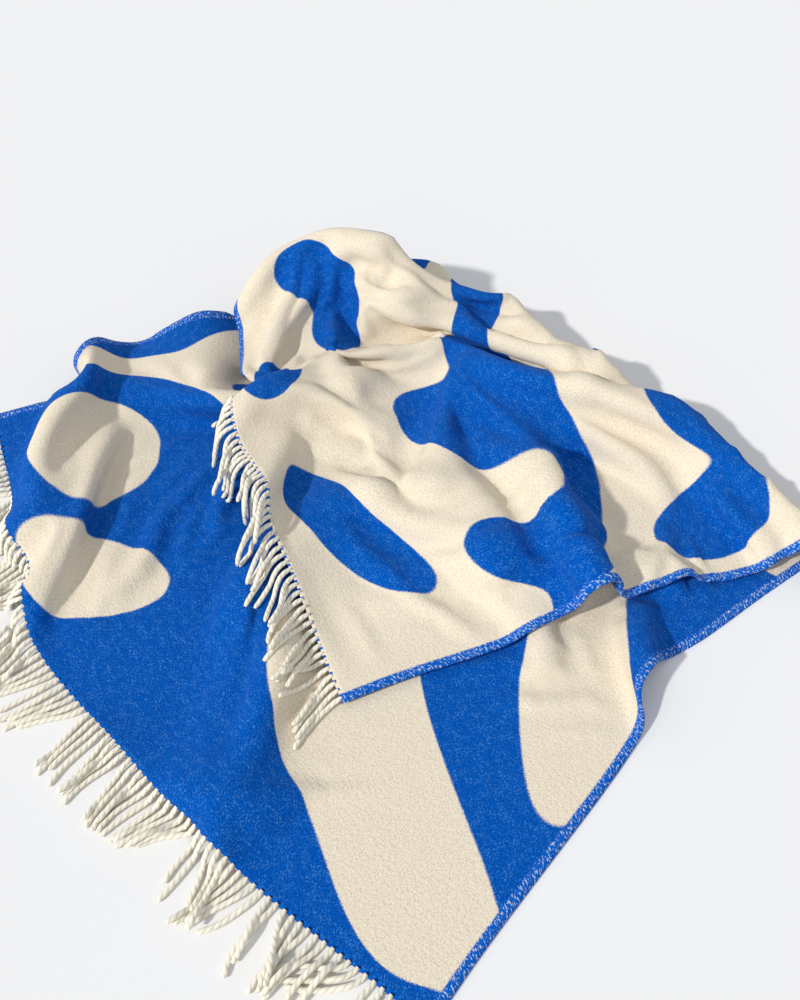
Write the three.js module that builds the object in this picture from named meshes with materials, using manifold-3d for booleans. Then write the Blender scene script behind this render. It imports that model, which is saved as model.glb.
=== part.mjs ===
// A fringed wool throw, lying on a surface: folded back over itself, with one heap of folds at its far side.
import * as THREE from 'three';
import Module from 'manifold-3d';

const wasm = await Module();
wasm.setup();

// Driving dimensions, mm. "Across" runs from the near selvedge to the far one, "along" from end A to end B.
const CLOTH_WIDTH = 1300;
const CLOTH_LENGTH = 1920;
const CLOTH_THICKNESS = 3;
const STRANDS_PER_END = 77;
const STRAND_LENGTH = 92;
const STRAND_SIZE = 6;
const STRAND_HEIGHT = 5;
const STRAND_SECTIONS = 5;
const STRIP_WIDTH = 7;
const STRIP_GAP = 0.35;
const ROOT_IN_STRIP = 4;
const CLEARANCE = 2;
// How steeply a strand may fall, as a share of its length, how far it is levelled where it leaves its
// strip, and how far across end B its strands show
const STEEPEST = 0.85;
const LEAVING_LEVEL = 0.7;
const OPEN_END_B = 580;

// Grid of the cloth: cells across and along
const CELLS_ACROSS = 36;
const CELLS_ALONG = 54;
const POINTS_ACROSS = CELLS_ACROSS + 1;
const POINTS_ALONG = CELLS_ALONG + 1;
const STEP_ACROSS = CLOTH_WIDTH / CELLS_ACROSS;
const STEP_ALONG = CLOTH_LENGTH / CELLS_ALONG;

// Where the cloth turns back over itself, and where its far end is tucked under the heap:
// each row gives the distance across and the distance along at which the turn lies.
const TURN_BACK = [
  { across: 0, along: 1012 },
  { across: 400, along: 1058 },
  { across: 900, along: 1058 },
  { across: 1300, along: 985 },
];
const TUCK_UNDER = [
  { across: 0, along: 2500 },
  { across: 543, along: 1925 },
  { across: 660, along: 1868 },
  { across: 720, along: 1790 },
  { across: 800, along: 1735 },
  { across: 1000, along: 1725 },
  { across: 1300, along: 1700 },
];

// The edges and folds of the drape, one row each. A hold is a spot of the flat cloth and the place where it
// lies: [across, along, x, y, rise], with x to the right and y away from the viewer.
const HELD_LINES = [
  { line: 'end A', holds: [[0, 0, 35, 210, 0], [250, 0, -176, 345, 0], [454, 0, -334, 476, 12],
    [561, 0, -409, 554, 12], [690, 0, -495, 644, 0], [762, 0, -546, 694, 0], [830, 0, -572, 748, 38],
    [900, 0, -587, 795, 0], [1070, 0, -641, 956, 0], [1183, 0, -684, 1060, 0], [1300, 0, -734, 1178, 0]] },
  { line: 'near selvedge, lower layer', holds: [[0, 178, 155, 341, 0], [0, 451, 329, 552, 0],
    [0, 490, 342, 569, 18], [0, 545, 324, 610, 52], [0, 580, 345, 639, 52], [0, 640, 370, 664, 0],
    [0, 690, 404, 699, 0], [0, 773, 484, 740, 0], [0, 950, 632, 838, 0], [0, 1010, 694, 876, 12]] },
  { line: 'near selvedge, upper layer', holds: [[0, 1080, 629, 851, 20], [0, 1213, 509, 801, 12],
    [0, 1292, 430, 788, 12], [0, 1328, 406, 785, 38], [0, 1390, 351, 754, 14], [0, 1455, 315, 759, 62],
    [0, 1512, 274, 744, 36], [0, 1570, 219, 734, 18], [0, 1600, 237, 708, 14], [0, 1662, 181, 692, 12],
    [0, 1800, 43, 638, 12], [0, 1920, -76, 599, 12]] },
  { line: 'end B', holds: [[57, 1920, -90, 656, 12], [118, 1920, -119, 709, 15], [186, 1920, -156, 765, 20],
    [252, 1920, -169, 826, 40], [301, 1920, -170, 867, 65], [355, 1920, -205, 907, 82],
    [451, 1920, -243, 992, 85], [543, 1920, -279, 1080, 92]] },
  { line: 'end B, tucked under', holds: [[720, 1920, -165, 1140, 42], [900, 1920, -60, 1160, 26],
    [1100, 1920, -120, 1150, 24], [1300, 1920, -100, 1110, 22]] },
  { line: 'rounded edge where the tuck starts', holds: [[600, 1895, -270, 1129, 98],
    [660, 1870, -233, 1170, 102]] },
  { line: 'far selvedge, lower layer', holds: [[1300, 120, -621, 1220, 0], [1300, 245, -560, 1228, 100],
    [1300, 325, -550, 1290, 46], [1300, 440, -446, 1325, 43], [1300, 570, -335, 1395, 43],
    [1300, 710, -200, 1425, 20], [1300, 850, -60, 1440, 10], [1300, 985, 70, 1440, 22]] },
  { line: 'far selvedge, upper layer', holds: [[1300, 1120, -60, 1480, 12], [1300, 1240, -170, 1485, 30],
    [1300, 1320, -230, 1455, 85], [1300, 1385, -249, 1423, 132], [1300, 1440, -234, 1392, 96],
    [1300, 1525, -303, 1370, 74], [1300, 1670, -284, 1230, 30], [1300, 1780, -215, 1150, 24]] },
  { line: 'edge of the turn back', holds: [[130, 1032, 609, 976, 28], [290, 1048, 515, 1097, 36],
    [390, 1055, 446, 1150, 40], [480, 1060, 386, 1202, 46], [560, 1066, 338, 1251, 58],
    [640, 1062, 287, 1291, 40], [700, 1062, 268, 1322, 56], [780, 1070, 249, 1345, 74],
    [840, 1072, 218, 1381, 84], [960, 1046, 158, 1401, 70], [1080, 1030, 90, 1439, 60]] },
  { line: 'crease between the humps of the turn back', holds: [[600, 1120, 314, 1227, 44],
    [560, 1170, 345, 1157, 40]] },
  { line: 'left ridge, crest', holds: [[905, 40, -546, 831, 62], [1010, 97, -540, 948, 88],
    [1150, 160, -558, 1103, 108]] },
  { line: 'left ridge, valley beside it', holds: [[888, 137, -488, 865, 14], [1030, 223, -497, 1091, 22],
    [1200, 300, -500, 1234, 45]] },
  { line: 'far ridge of the lower layer', holds: [[1190, 345, -480, 1233, 70], [1130, 460, -368, 1187, 64],
    [1060, 580, -271, 1162, 52], [1235, 440, -437, 1304, 28]] },
  { line: 'middle ridge of the lower layer', holds: [[355, 10, -250, 411, 28], [390, 102, -212, 504, 44],
    [490, 217, -216, 664, 54], [600, 316, -235, 816, 58]] },
  { line: 'first fan fold, crest', holds: [[330, 1530, 137, 1039, 98], [210, 1515, 203, 938, 98],
    [110, 1510, 249, 847, 92], [40, 1520, 248, 781, 70]] },
  { line: 'first fan fold, valley', holds: [[365, 1440, 171, 1084, 30], [210, 1415, 278, 955, 28],
    [65, 1420, 326, 823, 20]] },
  { line: 'second fan fold, crest', holds: [[430, 1380, 136, 1149, 92], [400, 1340, 212, 1127, 88],
    [350, 1300, 278, 1107, 80], [265, 1250, 399, 1052, 66], [200, 1190, 489, 1016, 44]] },
  { line: 'third fan fold', holds: [[520, 1250, 281, 1181, 58], [640, 1200, 241, 1256, 78],
    [740, 1160, 203, 1313, 86]] },
  { line: 'hollow beside the heap', holds: [[700, 1290, 125, 1303, 46], [860, 1190, 131, 1356, 60]] },
  { line: 'pinch where the fan folds meet', holds: [[545, 1470, 103, 1256, 90]] },
  { line: 'valley in front of the heap', holds: [[640, 1620, -72, 1231, 48], [640, 1760, -176, 1191, 75],
    [610, 1530, 73, 1275, 60]] },
  { line: 'upper layer, open part', holds: [[430, 1800, -153, 1075, 40], [300, 1780, -114, 953, 30],
    [300, 1650, 0, 875, 28], [150, 1700, 46, 771, 16], [430, 1650, 0, 1070, 45], [120, 1320, 464, 898, 22]] },
  { line: 'heap, crest', holds: [[1190, 1410, -228, 1446, 162], [1090, 1360, -128, 1457, 178],
    [1020, 1290, -18, 1440, 186], [960, 1240, 52, 1400, 186]] },
  { line: 'heap, front', holds: [[880, 1400, -35, 1318, 140], [850, 1310, 80, 1328, 108],
    [820, 1700, -165, 1222, 92], [830, 1800, -150, 1180, 40], [850, 1640, -139, 1236, 112]] },
  { line: 'heap, right side', holds: [[925, 1225, 84, 1379, 166], [955, 1150, 104, 1370, 82]] },
  { line: 'heap, pocket', holds: [[1060, 1560, -164, 1369, 110], [975, 1650, -120, 1300, 62],
    [1010, 1550, -135, 1362, 88], [940, 1780, -105, 1215, 36]] },
  { line: 'heap, left cone', holds: [[1210, 1470, -218, 1420, 156], [1160, 1560, -210, 1328, 118],
    [1120, 1640, -221, 1254, 80], [1080, 1740, -190, 1180, 45], [1220, 1570, -255, 1290, 48]] },
];

// How the cloth is let settle
const SETTLE_ROUNDS = 500;
const SAG_PER_ROUND = 0.6;
const HOLD_PULL = 0.3;
const HOLD_SPREAD = 48;
const HOLD_CUT = 0.05;
const SHEAR_STIFFNESS = 0.25;
const BEND_STIFFNESS = 0.5;
const LONG_BEND_STIFFNESS = 0.3;
const LAYER_GAP = 12;
const TUCK_GAP = 8;
const HEAP_GAP = 6;
const LIFT_PER_ROUND = 3;

// What lies under what, where the cloth has several layers, and the gap that the layers keep
const LAYERS = [
  { isUnder: ({ pastTurn }) => pastTurn <= 40, isOver: ({ pastTurn }) => pastTurn > 40,
    gap: ({ pastTurn }) => LAYER_GAP * clamp(pastTurn / 75, 0, 1) },
  { isUnder: ({ pastTurn, pastTuck }) => pastTurn <= 0 || pastTuck > 0,
    isOver: ({ pastTurn, pastTuck }) => pastTurn > 80 && pastTuck <= 0,
    gap: ({ pastTuck }) => TUCK_GAP * clamp(-pastTuck / 50, 0, 1) },
  { isUnder: ({ across, pastTurn, pastTuck }) => across < 640 && pastTurn > 40 && pastTuck <= 0,
    isOver: ({ across, along, pastTuck }) => across > 700 && along > 1150 && along < 1600 && pastTuck <= 0,
    gap: () => HEAP_GAP },
];

// The part of the lower layer that the upper layer covers: where it starts, how its start bends away
// from the middle of the cloth, how far it reaches to both sides, and how low it is pressed
const COVER = { start: 560, bend: 0.35, middle: 650, nearSide: 20, farSide: 1220, deep: 40 };
const COVER_TOP = { atStart: 120, fall: 1.2, lowest: 20 };

// Where the start bunches the cloth, the spare cloth goes into gathers finer than the grid. The share of
// the cloth's length that is kept is that of the start times `ease`, between `least` and 1.
const BUNCHED = [
  { isIn: (across, along) => coverOver(across, along) > COVER.deep, ease: 1.02, least: 0.35 },
  { isIn: (across, along) => along > 1520 && across > 620, ease: 1.05, least: 0.3 },
  { isIn: (across, along) => along > 1100 && across > 520 && across < 900, ease: 1.1, least: 0.35 },
  { isIn: () => true, ease: 1.15, least: 0.6 },
];

// Height map of what lies under a layer
const MAP_CELL = 20;
const MAP_LEFT = -900;
const MAP_NEAR = 100;
const MAP_COLUMNS = 100;
const MAP_ROWS = 80;

const MATERIALS = {
  cloth: new THREE.MeshStandardMaterial({ color: 0x1450b4, roughness: 0.95, metalness: 0 }),
  yarn: new THREE.MeshStandardMaterial({ color: 0xebe4d4, roughness: 0.9, metalness: 0 }),
};

const node = (i, j) => i * POINTS_ALONG + j;
const clamp = (value, low, high) => Math.min(Math.max(value, low), high);

// Reads a table of turns at a distance across, straight between its rows
function turnAt(table, across) {
  const next = table.findIndex((row) => row.across > across);
  const last = next < 1 ? table.length - 1 : next;
  const a = table[last - 1];
  const b = table[last];
  const share = (across - a.across) / (b.across - a.across);
  return a.along + (b.along - a.along) * share;
}

// Solves a full set of linear equations with several right sides, by elimination with row swaps
function solve(matrix, sides) {
  const n = matrix.length;
  const rows = matrix.map((row, i) => [...row, ...sides[i]]);
  for (let c = 0; c < n; c++) {
    let best = c;
    for (let r = c + 1; r < n; r++) {
      if (Math.abs(rows[r][c]) > Math.abs(rows[best][c])) best = r;
    }
    [rows[c], rows[best]] = [rows[best], rows[c]];
    for (let r = c + 1; r < n; r++) {
      const factor = rows[r][c] / rows[c][c];
      if (factor === 0) continue;
      for (let k = c; k < rows[r].length; k++) rows[r][k] -= factor * rows[c][k];
    }
  }
  const out = sides.map((side) => side.map(() => 0));
  for (let r = n - 1; r >= 0; r--) {
    for (let s = 0; s < out[r].length; s++) {
      let sum = rows[r][n + s];
      for (let k = r + 1; k < n; k++) sum -= rows[r][k] * out[k][s];
      out[r][s] = sum / rows[r][r];
    }
  }
  return out;
}

// A smooth surface through a set of holds: returns where a spot of the flat cloth lies
function smoothThrough(holds) {
  const metre = 1000;
  const ease = 0.0005;
  const spots = holds.map(([across, along]) => [across / metre, along / metre]);
  const n = spots.length;
  const matrix = [];
  for (let r = 0; r < n; r++) {
    const row = spots.map(([u, v], c) => (
      -Math.hypot(spots[r][0] - u, spots[r][1] - v) - (r === c ? ease : 0)
    ));
    matrix.push([...row, 1, spots[r][0], spots[r][1]]);
  }
  matrix.push([...spots.map(() => 1), 0, 0, 0]);
  matrix.push([...spots.map(([u]) => u), 0, 0, 0]);
  matrix.push([...spots.map(([, v]) => v), 0, 0, 0]);
  const sides = [...holds.map((hold) => hold.slice(2)), [0, 0, 0], [0, 0, 0], [0, 0, 0]];
  const weights = solve(matrix, sides);
  return (across, along) => {
    const u = across / metre;
    const v = along / metre;
    return [0, 1, 2].map((axis) => {
      let sum = weights[n][axis] + weights[n + 1][axis] * u + weights[n + 2][axis] * v;
      for (let k = 0; k < n; k++) sum -= Math.hypot(spots[k][0] - u, spots[k][1] - v) * weights[k][axis];
      return sum;
    });
  };
}

// Start of the drape: the lower and the upper layer each laid smoothly through their own holds
function layCloth(holds) {
  const seam = 22;
  const lower = smoothThrough(holds.filter(([across, along]) => along <= turnAt(TURN_BACK, across) + seam));
  const upper = smoothThrough(holds.filter(([across, along]) => along >= turnAt(TURN_BACK, across) - seam));
  const cloth = new Float64Array(POINTS_ACROSS * POINTS_ALONG * 3);
  for (let i = 0; i < POINTS_ACROSS; i++) {
    for (let j = 0; j < POINTS_ALONG; j++) {
      const across = i * STEP_ACROSS;
      const along = j * STEP_ALONG;
      const place = along > turnAt(TURN_BACK, across) ? upper(across, along) : lower(across, along);
      cloth.set([place[0], place[1], Math.max(place[2], 0)], 3 * node(i, j));
    }
  }
  return cloth;
}

function distance(cloth, a, b) {
  const dx = cloth[3 * b] - cloth[3 * a];
  const dy = cloth[3 * b + 1] - cloth[3 * a + 1];
  const dz = cloth[3 * b + 2] - cloth[3 * a + 2];
  return Math.sqrt(dx * dx + dy * dy + dz * dz);
}

// Softens a grid of numbers by averaging each with its neighbours, first down and then across
function soften(grid, rows, columns, passes) {
  const at = (i, j) => clamp(i, 0, rows - 1) * columns + clamp(j, 0, columns - 1);
  let now = grid;
  for (let pass = 0; pass < passes; pass++) {
    const down = now.map((value, k) => {
      const i = Math.floor(k / columns);
      const j = k % columns;
      return 0.25 * now[at(i - 1, j)] + 0.5 * value + 0.25 * now[at(i + 1, j)];
    });
    now = down.map((value, k) => {
      const i = Math.floor(k / columns);
      const j = k % columns;
      return 0.25 * down[at(i, j - 1)] + 0.5 * value + 0.25 * down[at(i, j + 1)];
    });
  }
  return now;
}

// How far under its cover a spot of the lower layer lies
function coverOver(across, along) {
  const ahead = along - COVER.start - COVER.bend * Math.abs(across - COVER.middle);
  const behind = turnAt(TURN_BACK, across) - along;
  return Math.min(ahead, behind, across - COVER.nearSide, COVER.farSide - across);
}

// How high each point may reach
function ceilings() {
  const heights = [];
  for (let i = 0; i < POINTS_ACROSS; i++) {
    for (let j = 0; j < POINTS_ALONG; j++) {
      const depth = coverOver(i * STEP_ACROSS, j * STEP_ALONG);
      const top = Math.max(COVER_TOP.atStart - COVER_TOP.fall * depth, COVER_TOP.lowest);
      heights.push(depth < 0 ? Infinity : top);
    }
  }
  return heights;
}

// How far two neighbouring points may lie apart
function restLengths(cloth, alongWay) {
  const rows = alongWay ? POINTS_ACROSS : POINTS_ACROSS - 1;
  const columns = alongWay ? POINTS_ALONG - 1 : POINTS_ALONG;
  const step = alongWay ? STEP_ALONG : STEP_ACROSS;
  const ratios = new Float64Array(rows * columns);
  for (let i = 0; i < rows; i++) {
    for (let j = 0; j < columns; j++) {
      const next = alongWay ? node(i, j + 1) : node(i + 1, j);
      ratios[i * columns + j] = distance(cloth, node(i, j), next) / step;
    }
  }
  const soft = soften(ratios, rows, columns, 4);
  return soft.map((ratio, k) => {
    const across = Math.floor(k / columns) * STEP_ACROSS;
    const along = (k % columns) * STEP_ALONG;
    const { ease, least } = BUNCHED.find(({ isIn }) => isIn(across, along));
    return step * clamp(ratio * ease, least, 1);
  });
}

// Moves two points towards the distance they should keep; a bend only pushes them apart
function spring(cloth, a, b, rest, stiffness, pushOnly) {
  const p = 3 * a;
  const q = 3 * b;
  const dx = cloth[q] - cloth[p];
  const dy = cloth[q + 1] - cloth[p + 1];
  const dz = cloth[q + 2] - cloth[p + 2];
  const length = Math.sqrt(dx * dx + dy * dy + dz * dz) + 1e-9;
  const over = pushOnly ? Math.min(length - rest, 0) : length - rest;
  const share = over / length;
  cloth[p] += dx * share * 0.5 * stiffness;
  cloth[p + 1] += dy * share * 0.5 * stiffness;
  cloth[p + 2] += dz * share * 0.5 * stiffness;
  cloth[q] -= dx * share * 0.5 * stiffness;
  cloth[q + 1] -= dy * share * 0.5 * stiffness;
  cloth[q + 2] -= dz * share * 0.5 * stiffness;
}

// Pairs of points a number of cells apart, in sets where no two pairs share a point
function pairs(span, alongWay) {
  const found = [];
  for (let first = 0; first < 2 * span; first++) {
    if (alongWay) {
      for (let i = 0; i < POINTS_ACROSS; i++) {
        for (let j = first; j + span < POINTS_ALONG; j += 2 * span) found.push([i, j, i, j + span]);
      }
    } else {
      for (let i = first; i + span < POINTS_ACROSS; i += 2 * span) {
        for (let j = 0; j < POINTS_ALONG; j++) found.push([i, j, i + span, j]);
      }
    }
  }
  return found;
}

// Every spring of the cloth, in the order in which one round works through them: along its threads,
// across its cells, and over two and four cells, where the cloth resists being bent
function clothSprings(restAcross, restAlong) {
  const acrossRest = (i, j) => restAcross[i * POINTS_ALONG + j];
  const alongRest = (i, j) => restAlong[i * (POINTS_ALONG - 1) + j];
  const springs = [];
  const addSpan = (span, factor, stiffness, pushOnly, every) => {
    for (const alongWay of [false, true]) {
      for (const [i, j, k, l] of pairs(span, alongWay)) {
        let rest = 0;
        for (let n = 0; n < span; n++) rest += alongWay ? alongRest(i, j + n) : acrossRest(i + n, j);
        springs.push({ a: node(i, j), b: node(k, l), rest: rest * factor, stiffness, pushOnly, every });
      }
    }
  };
  addSpan(1, 1, 1, false, 1);
  for (const first of [0, 1]) {
    for (const lean of [0, 1]) {
      for (let i = first; i + 1 < POINTS_ACROSS; i += 2) {
        for (let j = 0; j + 1 < POINTS_ALONG; j++) {
          const rest = Math.sqrt(acrossRest(i, j) ** 2 + alongRest(i, j) ** 2);
          springs.push({ a: node(i, j + lean), b: node(i + 1, j + 1 - lean), rest,
            stiffness: SHEAR_STIFFNESS, pushOnly: false, every: 1 });
        }
      }
    }
  }
  addSpan(2, 0.97, BEND_STIFFNESS, true, 1);
  addSpan(4, 0.93, LONG_BEND_STIFFNESS, true, 3);
  return springs;
}

// How much each hold pulls at the points around it
function holdWeights(holds) {
  const weights = [];
  for (let i = 0; i < POINTS_ACROSS; i++) {
    for (let j = 0; j < POINTS_ALONG; j++) {
      const pulls = [];
      let sum = 0;
      holds.forEach(([across, along], index) => {
        const du = i * STEP_ACROSS - across;
        const dv = j * STEP_ALONG - along;
        const weight = Math.exp(-(du * du + dv * dv) / (2 * HOLD_SPREAD * HOLD_SPREAD));
        if (weight < HOLD_CUT) return;
        pulls.push([index, weight]);
        sum += weight;
      });
      const share = Math.max(sum, 1);
      weights.push(pulls.map(([index, weight]) => [index, weight / share]));
    }
  }
  return weights;
}

function pullToHolds(cloth, holds, weights) {
  const errors = holds.map(([across, along, x, y, rise]) => {
    const i = clamp(Math.round(across / STEP_ACROSS), 0, POINTS_ACROSS - 1);
    const j = clamp(Math.round(along / STEP_ALONG), 0, POINTS_ALONG - 1);
    const p = 3 * node(i, j);
    return [HOLD_PULL * (x - cloth[p]), HOLD_PULL * (y - cloth[p + 1]), HOLD_PULL * (rise - cloth[p + 2])];
  });
  weights.forEach((pulls, k) => {
    for (let axis = 0; axis < 3; axis++) {
      let move = 0;
      for (const [index, weight] of pulls) move += weight * errors[index][axis];
      cloth[3 * k + axis] += move;
    }
  });
}

// Highest point of some of the cloth over each cell of the floor
function heightMap(cloth, isIn) {
  const map = new Float64Array(MAP_COLUMNS * MAP_ROWS);
  const raise = (x, y, z) => {
    const column = clamp(Math.trunc((x - MAP_LEFT) / MAP_CELL), 1, MAP_COLUMNS - 2);
    const row = clamp(Math.trunc((y - MAP_NEAR) / MAP_CELL), 1, MAP_ROWS - 2);
    for (let dx = -1; dx <= 1; dx++) {
      for (let dy = -1; dy <= 1; dy++) {
        const k = (column + dx) * MAP_ROWS + row + dy;
        map[k] = Math.max(map[k], z - (dx === 0 && dy === 0 ? 0 : CLEARANCE));
      }
    }
  };
  const middle = (a, b) => raise((cloth[3 * a] + cloth[3 * b]) / 2, (cloth[3 * a + 1] + cloth[3 * b + 1]) / 2,
    (cloth[3 * a + 2] + cloth[3 * b + 2]) / 2);
  for (let i = 0; i < POINTS_ACROSS; i++) {
    for (let j = 0; j < POINTS_ALONG; j++) {
      const k = node(i, j);
      if (!isIn[k]) continue;
      raise(cloth[3 * k], cloth[3 * k + 1], cloth[3 * k + 2]);
      if (i + 1 >= POINTS_ACROSS || j + 1 >= POINTS_ALONG || !isIn[node(i + 1, j + 1)]) continue;
      middle(k, node(i + 1, j));
      middle(k, node(i, j + 1));
      middle(k, node(i + 1, j + 1));
    }
  }
  return map;
}

function readMap(map, x, y) {
  const fx = clamp((x - MAP_LEFT) / MAP_CELL - 0.5, 0, MAP_COLUMNS - 2.001);
  const fy = clamp((y - MAP_NEAR) / MAP_CELL - 0.5, 0, MAP_ROWS - 2.001);
  const column = Math.trunc(fx);
  const row = Math.trunc(fy);
  const ax = fx - column;
  const ay = fy - row;
  const at = (c, r) => map[c * MAP_ROWS + r];
  return at(column, row) * (1 - ax) * (1 - ay) + at(column + 1, row) * ax * (1 - ay)
    + at(column, row + 1) * (1 - ax) * ay + at(column + 1, row + 1) * ax * ay;
}

// The parts of the cloth that lie under others, each with the points that lie on it and their gap to it
function sortLayers() {
  const layers = [];
  for (const { isUnder, isOver, gap } of LAYERS) {
    const layer = { under: [], over: [], gaps: [] };
    for (let i = 0; i < POINTS_ACROSS; i++) {
      for (let j = 0; j < POINTS_ALONG; j++) {
        const across = i * STEP_ACROSS;
        const along = j * STEP_ALONG;
        const pastTurn = along - turnAt(TURN_BACK, across);
        const pastTuck = along - turnAt(TUCK_UNDER, across);
        layer.under.push(isUnder({ across, along, pastTurn, pastTuck }));
        layer.over.push(isOver({ across, along, pastTurn, pastTuck }));
        layer.gaps.push(gap({ across, along, pastTurn, pastTuck }));
      }
    }
    layers.push(layer);
  }
  return layers;
}

function liftOver(cloth, map, isIn, gaps) {
  isIn.forEach((lifted, k) => {
    if (!lifted) return;
    const need = readMap(map, cloth[3 * k], cloth[3 * k + 1]) + gaps[k];
    cloth[3 * k + 2] = Math.max(cloth[3 * k + 2], Math.min(need, cloth[3 * k + 2] + LIFT_PER_ROUND));
  });
}

// Lets the cloth settle: it sags, keeps its lengths, resists bending, stays near its holds and lies on
// the surface and on its own lower layer
function settleCloth() {
  const holds = HELD_LINES.flatMap((row) => row.holds);
  const cloth = layCloth(holds);
  const springs = clothSprings(restLengths(cloth, false), restLengths(cloth, true));
  const weights = holdWeights(holds);
  const layers = sortLayers();
  const tops = ceilings();
  for (let round = 0; round < SETTLE_ROUNDS; round++) {
    for (let k = 2; k < cloth.length; k += 3) cloth[k] -= SAG_PER_ROUND;
    for (const { a, b, rest, stiffness, pushOnly, every } of springs) {
      if (round % every === 0) spring(cloth, a, b, rest, stiffness, pushOnly);
    }
    pullToHolds(cloth, holds, weights);
    tops.forEach((top, k) => {
      cloth[3 * k + 2] = clamp(cloth[3 * k + 2], 0, top);
    });
    for (const layer of layers) {
      if (round % 4 === 0) layer.map = heightMap(cloth, layer.under);
      if (round > 4) liftOver(cloth, layer.map, layer.over, layer.gaps);
    }
  }
  return cloth;
}

const cross = (a, b) => [a[1] * b[2] - a[2] * b[1], a[2] * b[0] - a[0] * b[2], a[0] * b[1] - a[1] * b[0]];
const minus = (a, b) => [a[0] - b[0], a[1] - b[1], a[2] - b[2]];
const shift = (a, direction, length) => [0, 1, 2].map((k) => a[k] + direction[k] * length);
const onFloor = ([x, y, z]) => [x, y, Math.max(z, 0)];
const unit = (a) => {
  const length = Math.hypot(...a);
  return a.map((value) => value / length);
};

function pointOf(cloth, i, j) {
  const k = 3 * node(i, j);
  return [cloth[k], cloth[k + 1], cloth[k + 2] + CLOTH_THICKNESS / 2];
}

// Direction square to the cloth at a point, on its face side
function faceDirection(cloth, i, j) {
  const acrossWay = minus(
    pointOf(cloth, Math.min(i + 1, CELLS_ACROSS), j),
    pointOf(cloth, Math.max(i - 1, 0), j),
  );
  const alongWay = minus(
    pointOf(cloth, i, Math.min(j + 1, CELLS_ALONG)),
    pointOf(cloth, i, Math.max(j - 1, 0)),
  );
  return unit(cross(alongWay, acrossWay));
}

// Both sides of the cloth, half a thickness off its middle; side is 1 for the face and -1 for the reverse
function sidePoint(cloth, i, j, side) {
  const point = shift(pointOf(cloth, i, j), faceDirection(cloth, i, j), side * CLOTH_THICKNESS / 2);
  const settled = 0.3;
  if (point[2] < settled) point[2] = 0;
  return point;
}

function meshOf(points, triangles) {
  const geometry = new THREE.BufferGeometry();
  geometry.setAttribute('position', new THREE.Float32BufferAttribute(points.flat(), 3));
  geometry.setIndex(triangles.flat());
  geometry.computeVertexNormals();
  return geometry;
}

// Solid of the cloth: face, reverse and the rim that joins them
function clothSolid(cloth) {
  const points = [];
  for (const side of [1, -1]) {
    for (let i = 0; i < POINTS_ACROSS; i++) {
      for (let j = 0; j < POINTS_ALONG; j++) points.push(sidePoint(cloth, i, j, side));
    }
  }
  const reverse = POINTS_ACROSS * POINTS_ALONG;
  const triangles = [];
  for (let i = 0; i < CELLS_ACROSS; i++) {
    for (let j = 0; j < CELLS_ALONG; j++) {
      const [a, b, c, d] = [node(i, j), node(i, j + 1), node(i + 1, j + 1), node(i + 1, j)];
      triangles.push([a, b, c], [a, c, d]);
      triangles.push([reverse + a, reverse + c, reverse + b], [reverse + a, reverse + d, reverse + c]);
    }
  }
  const rim = (a, b) => triangles.push([a, reverse + a, reverse + b], [a, reverse + b, b]);
  for (let i = 0; i < CELLS_ACROSS; i++) {
    rim(node(i + 1, 0), node(i, 0));
    rim(node(i, CELLS_ALONG), node(i + 1, CELLS_ALONG));
  }
  for (let j = 0; j < CELLS_ALONG; j++) {
    rim(node(0, j), node(0, j + 1));
    rim(node(CELLS_ACROSS, j + 1), node(CELLS_ACROSS, j));
  }
  return meshOf(points, triangles);
}

// Height of the lower layer's face over a spot of the floor, or 0 beside it
function heightOfLower(cells, x, y) {
  let top = 0;
  for (const [a, b, c] of cells) {
    if (Math.min(a[0], b[0], c[0]) > x || Math.max(a[0], b[0], c[0]) < x) continue;
    if (Math.min(a[1], b[1], c[1]) > y || Math.max(a[1], b[1], c[1]) < y) continue;
    const area = (b[0] - a[0]) * (c[1] - a[1]) - (b[1] - a[1]) * (c[0] - a[0]);
    const shareB = ((x - a[0]) * (c[1] - a[1]) - (y - a[1]) * (c[0] - a[0])) / area;
    const shareC = ((b[0] - a[0]) * (y - a[1]) - (b[1] - a[1]) * (x - a[0])) / area;
    if (shareB < 0 || shareC < 0 || shareB + shareC > 1) continue;
    top = Math.max(top, a[2] + (b[2] - a[2]) * shareB + (c[2] - a[2]) * shareC);
  }
  return top;
}

function lowerCells(cloth) {
  const cells = [];
  for (let i = 0; i < CELLS_ACROSS; i++) {
    for (let j = 0; (j + 1) * STEP_ALONG < turnAt(TURN_BACK, i * STEP_ACROSS); j++) {
      const corners = [[i, j], [i, j + 1], [i + 1, j + 1], [i + 1, j]];
      const [a, b, c, d] = corners.map(([p, q]) => sidePoint(cloth, p, q, 1));
      cells.push([a, b, c], [a, c, d]);
    }
  }
  return cells;
}

// One end of the cloth, as the points along its edge, with the way out of the cloth at each of them and
// the level heading of its strands, which is steadier than the edge
function clothEnd(cloth, { j, from, to, faceUp }) {
  const walk = to > from ? 1 : -1;
  const pointAt = (i) => pointOf(cloth, clamp(i, 0, CELLS_ACROSS), j);
  const steady = 3;
  const edge = [];
  for (let i = from; i !== to + walk; i += walk) {
    const face = sidePoint(cloth, i, j, 1);
    const reverse = sidePoint(cloth, i, j, -1);
    const outward = unit(cross(minus(pointAt(i + walk), pointAt(i - walk)), faceDirection(cloth, i, j)));
    const chord = minus(pointAt(i + steady * walk), pointAt(i - steady * walk));
    const heading = faceUp ? [chord[1], -chord[0], 0] : [-chord[1], chord[0], 0];
    edge.push({ face, reverse, outward, below: faceUp ? reverse : face, above: faceUp ? face : reverse,
      heading: unit(heading) });
  }
  return edge;
}

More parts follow.
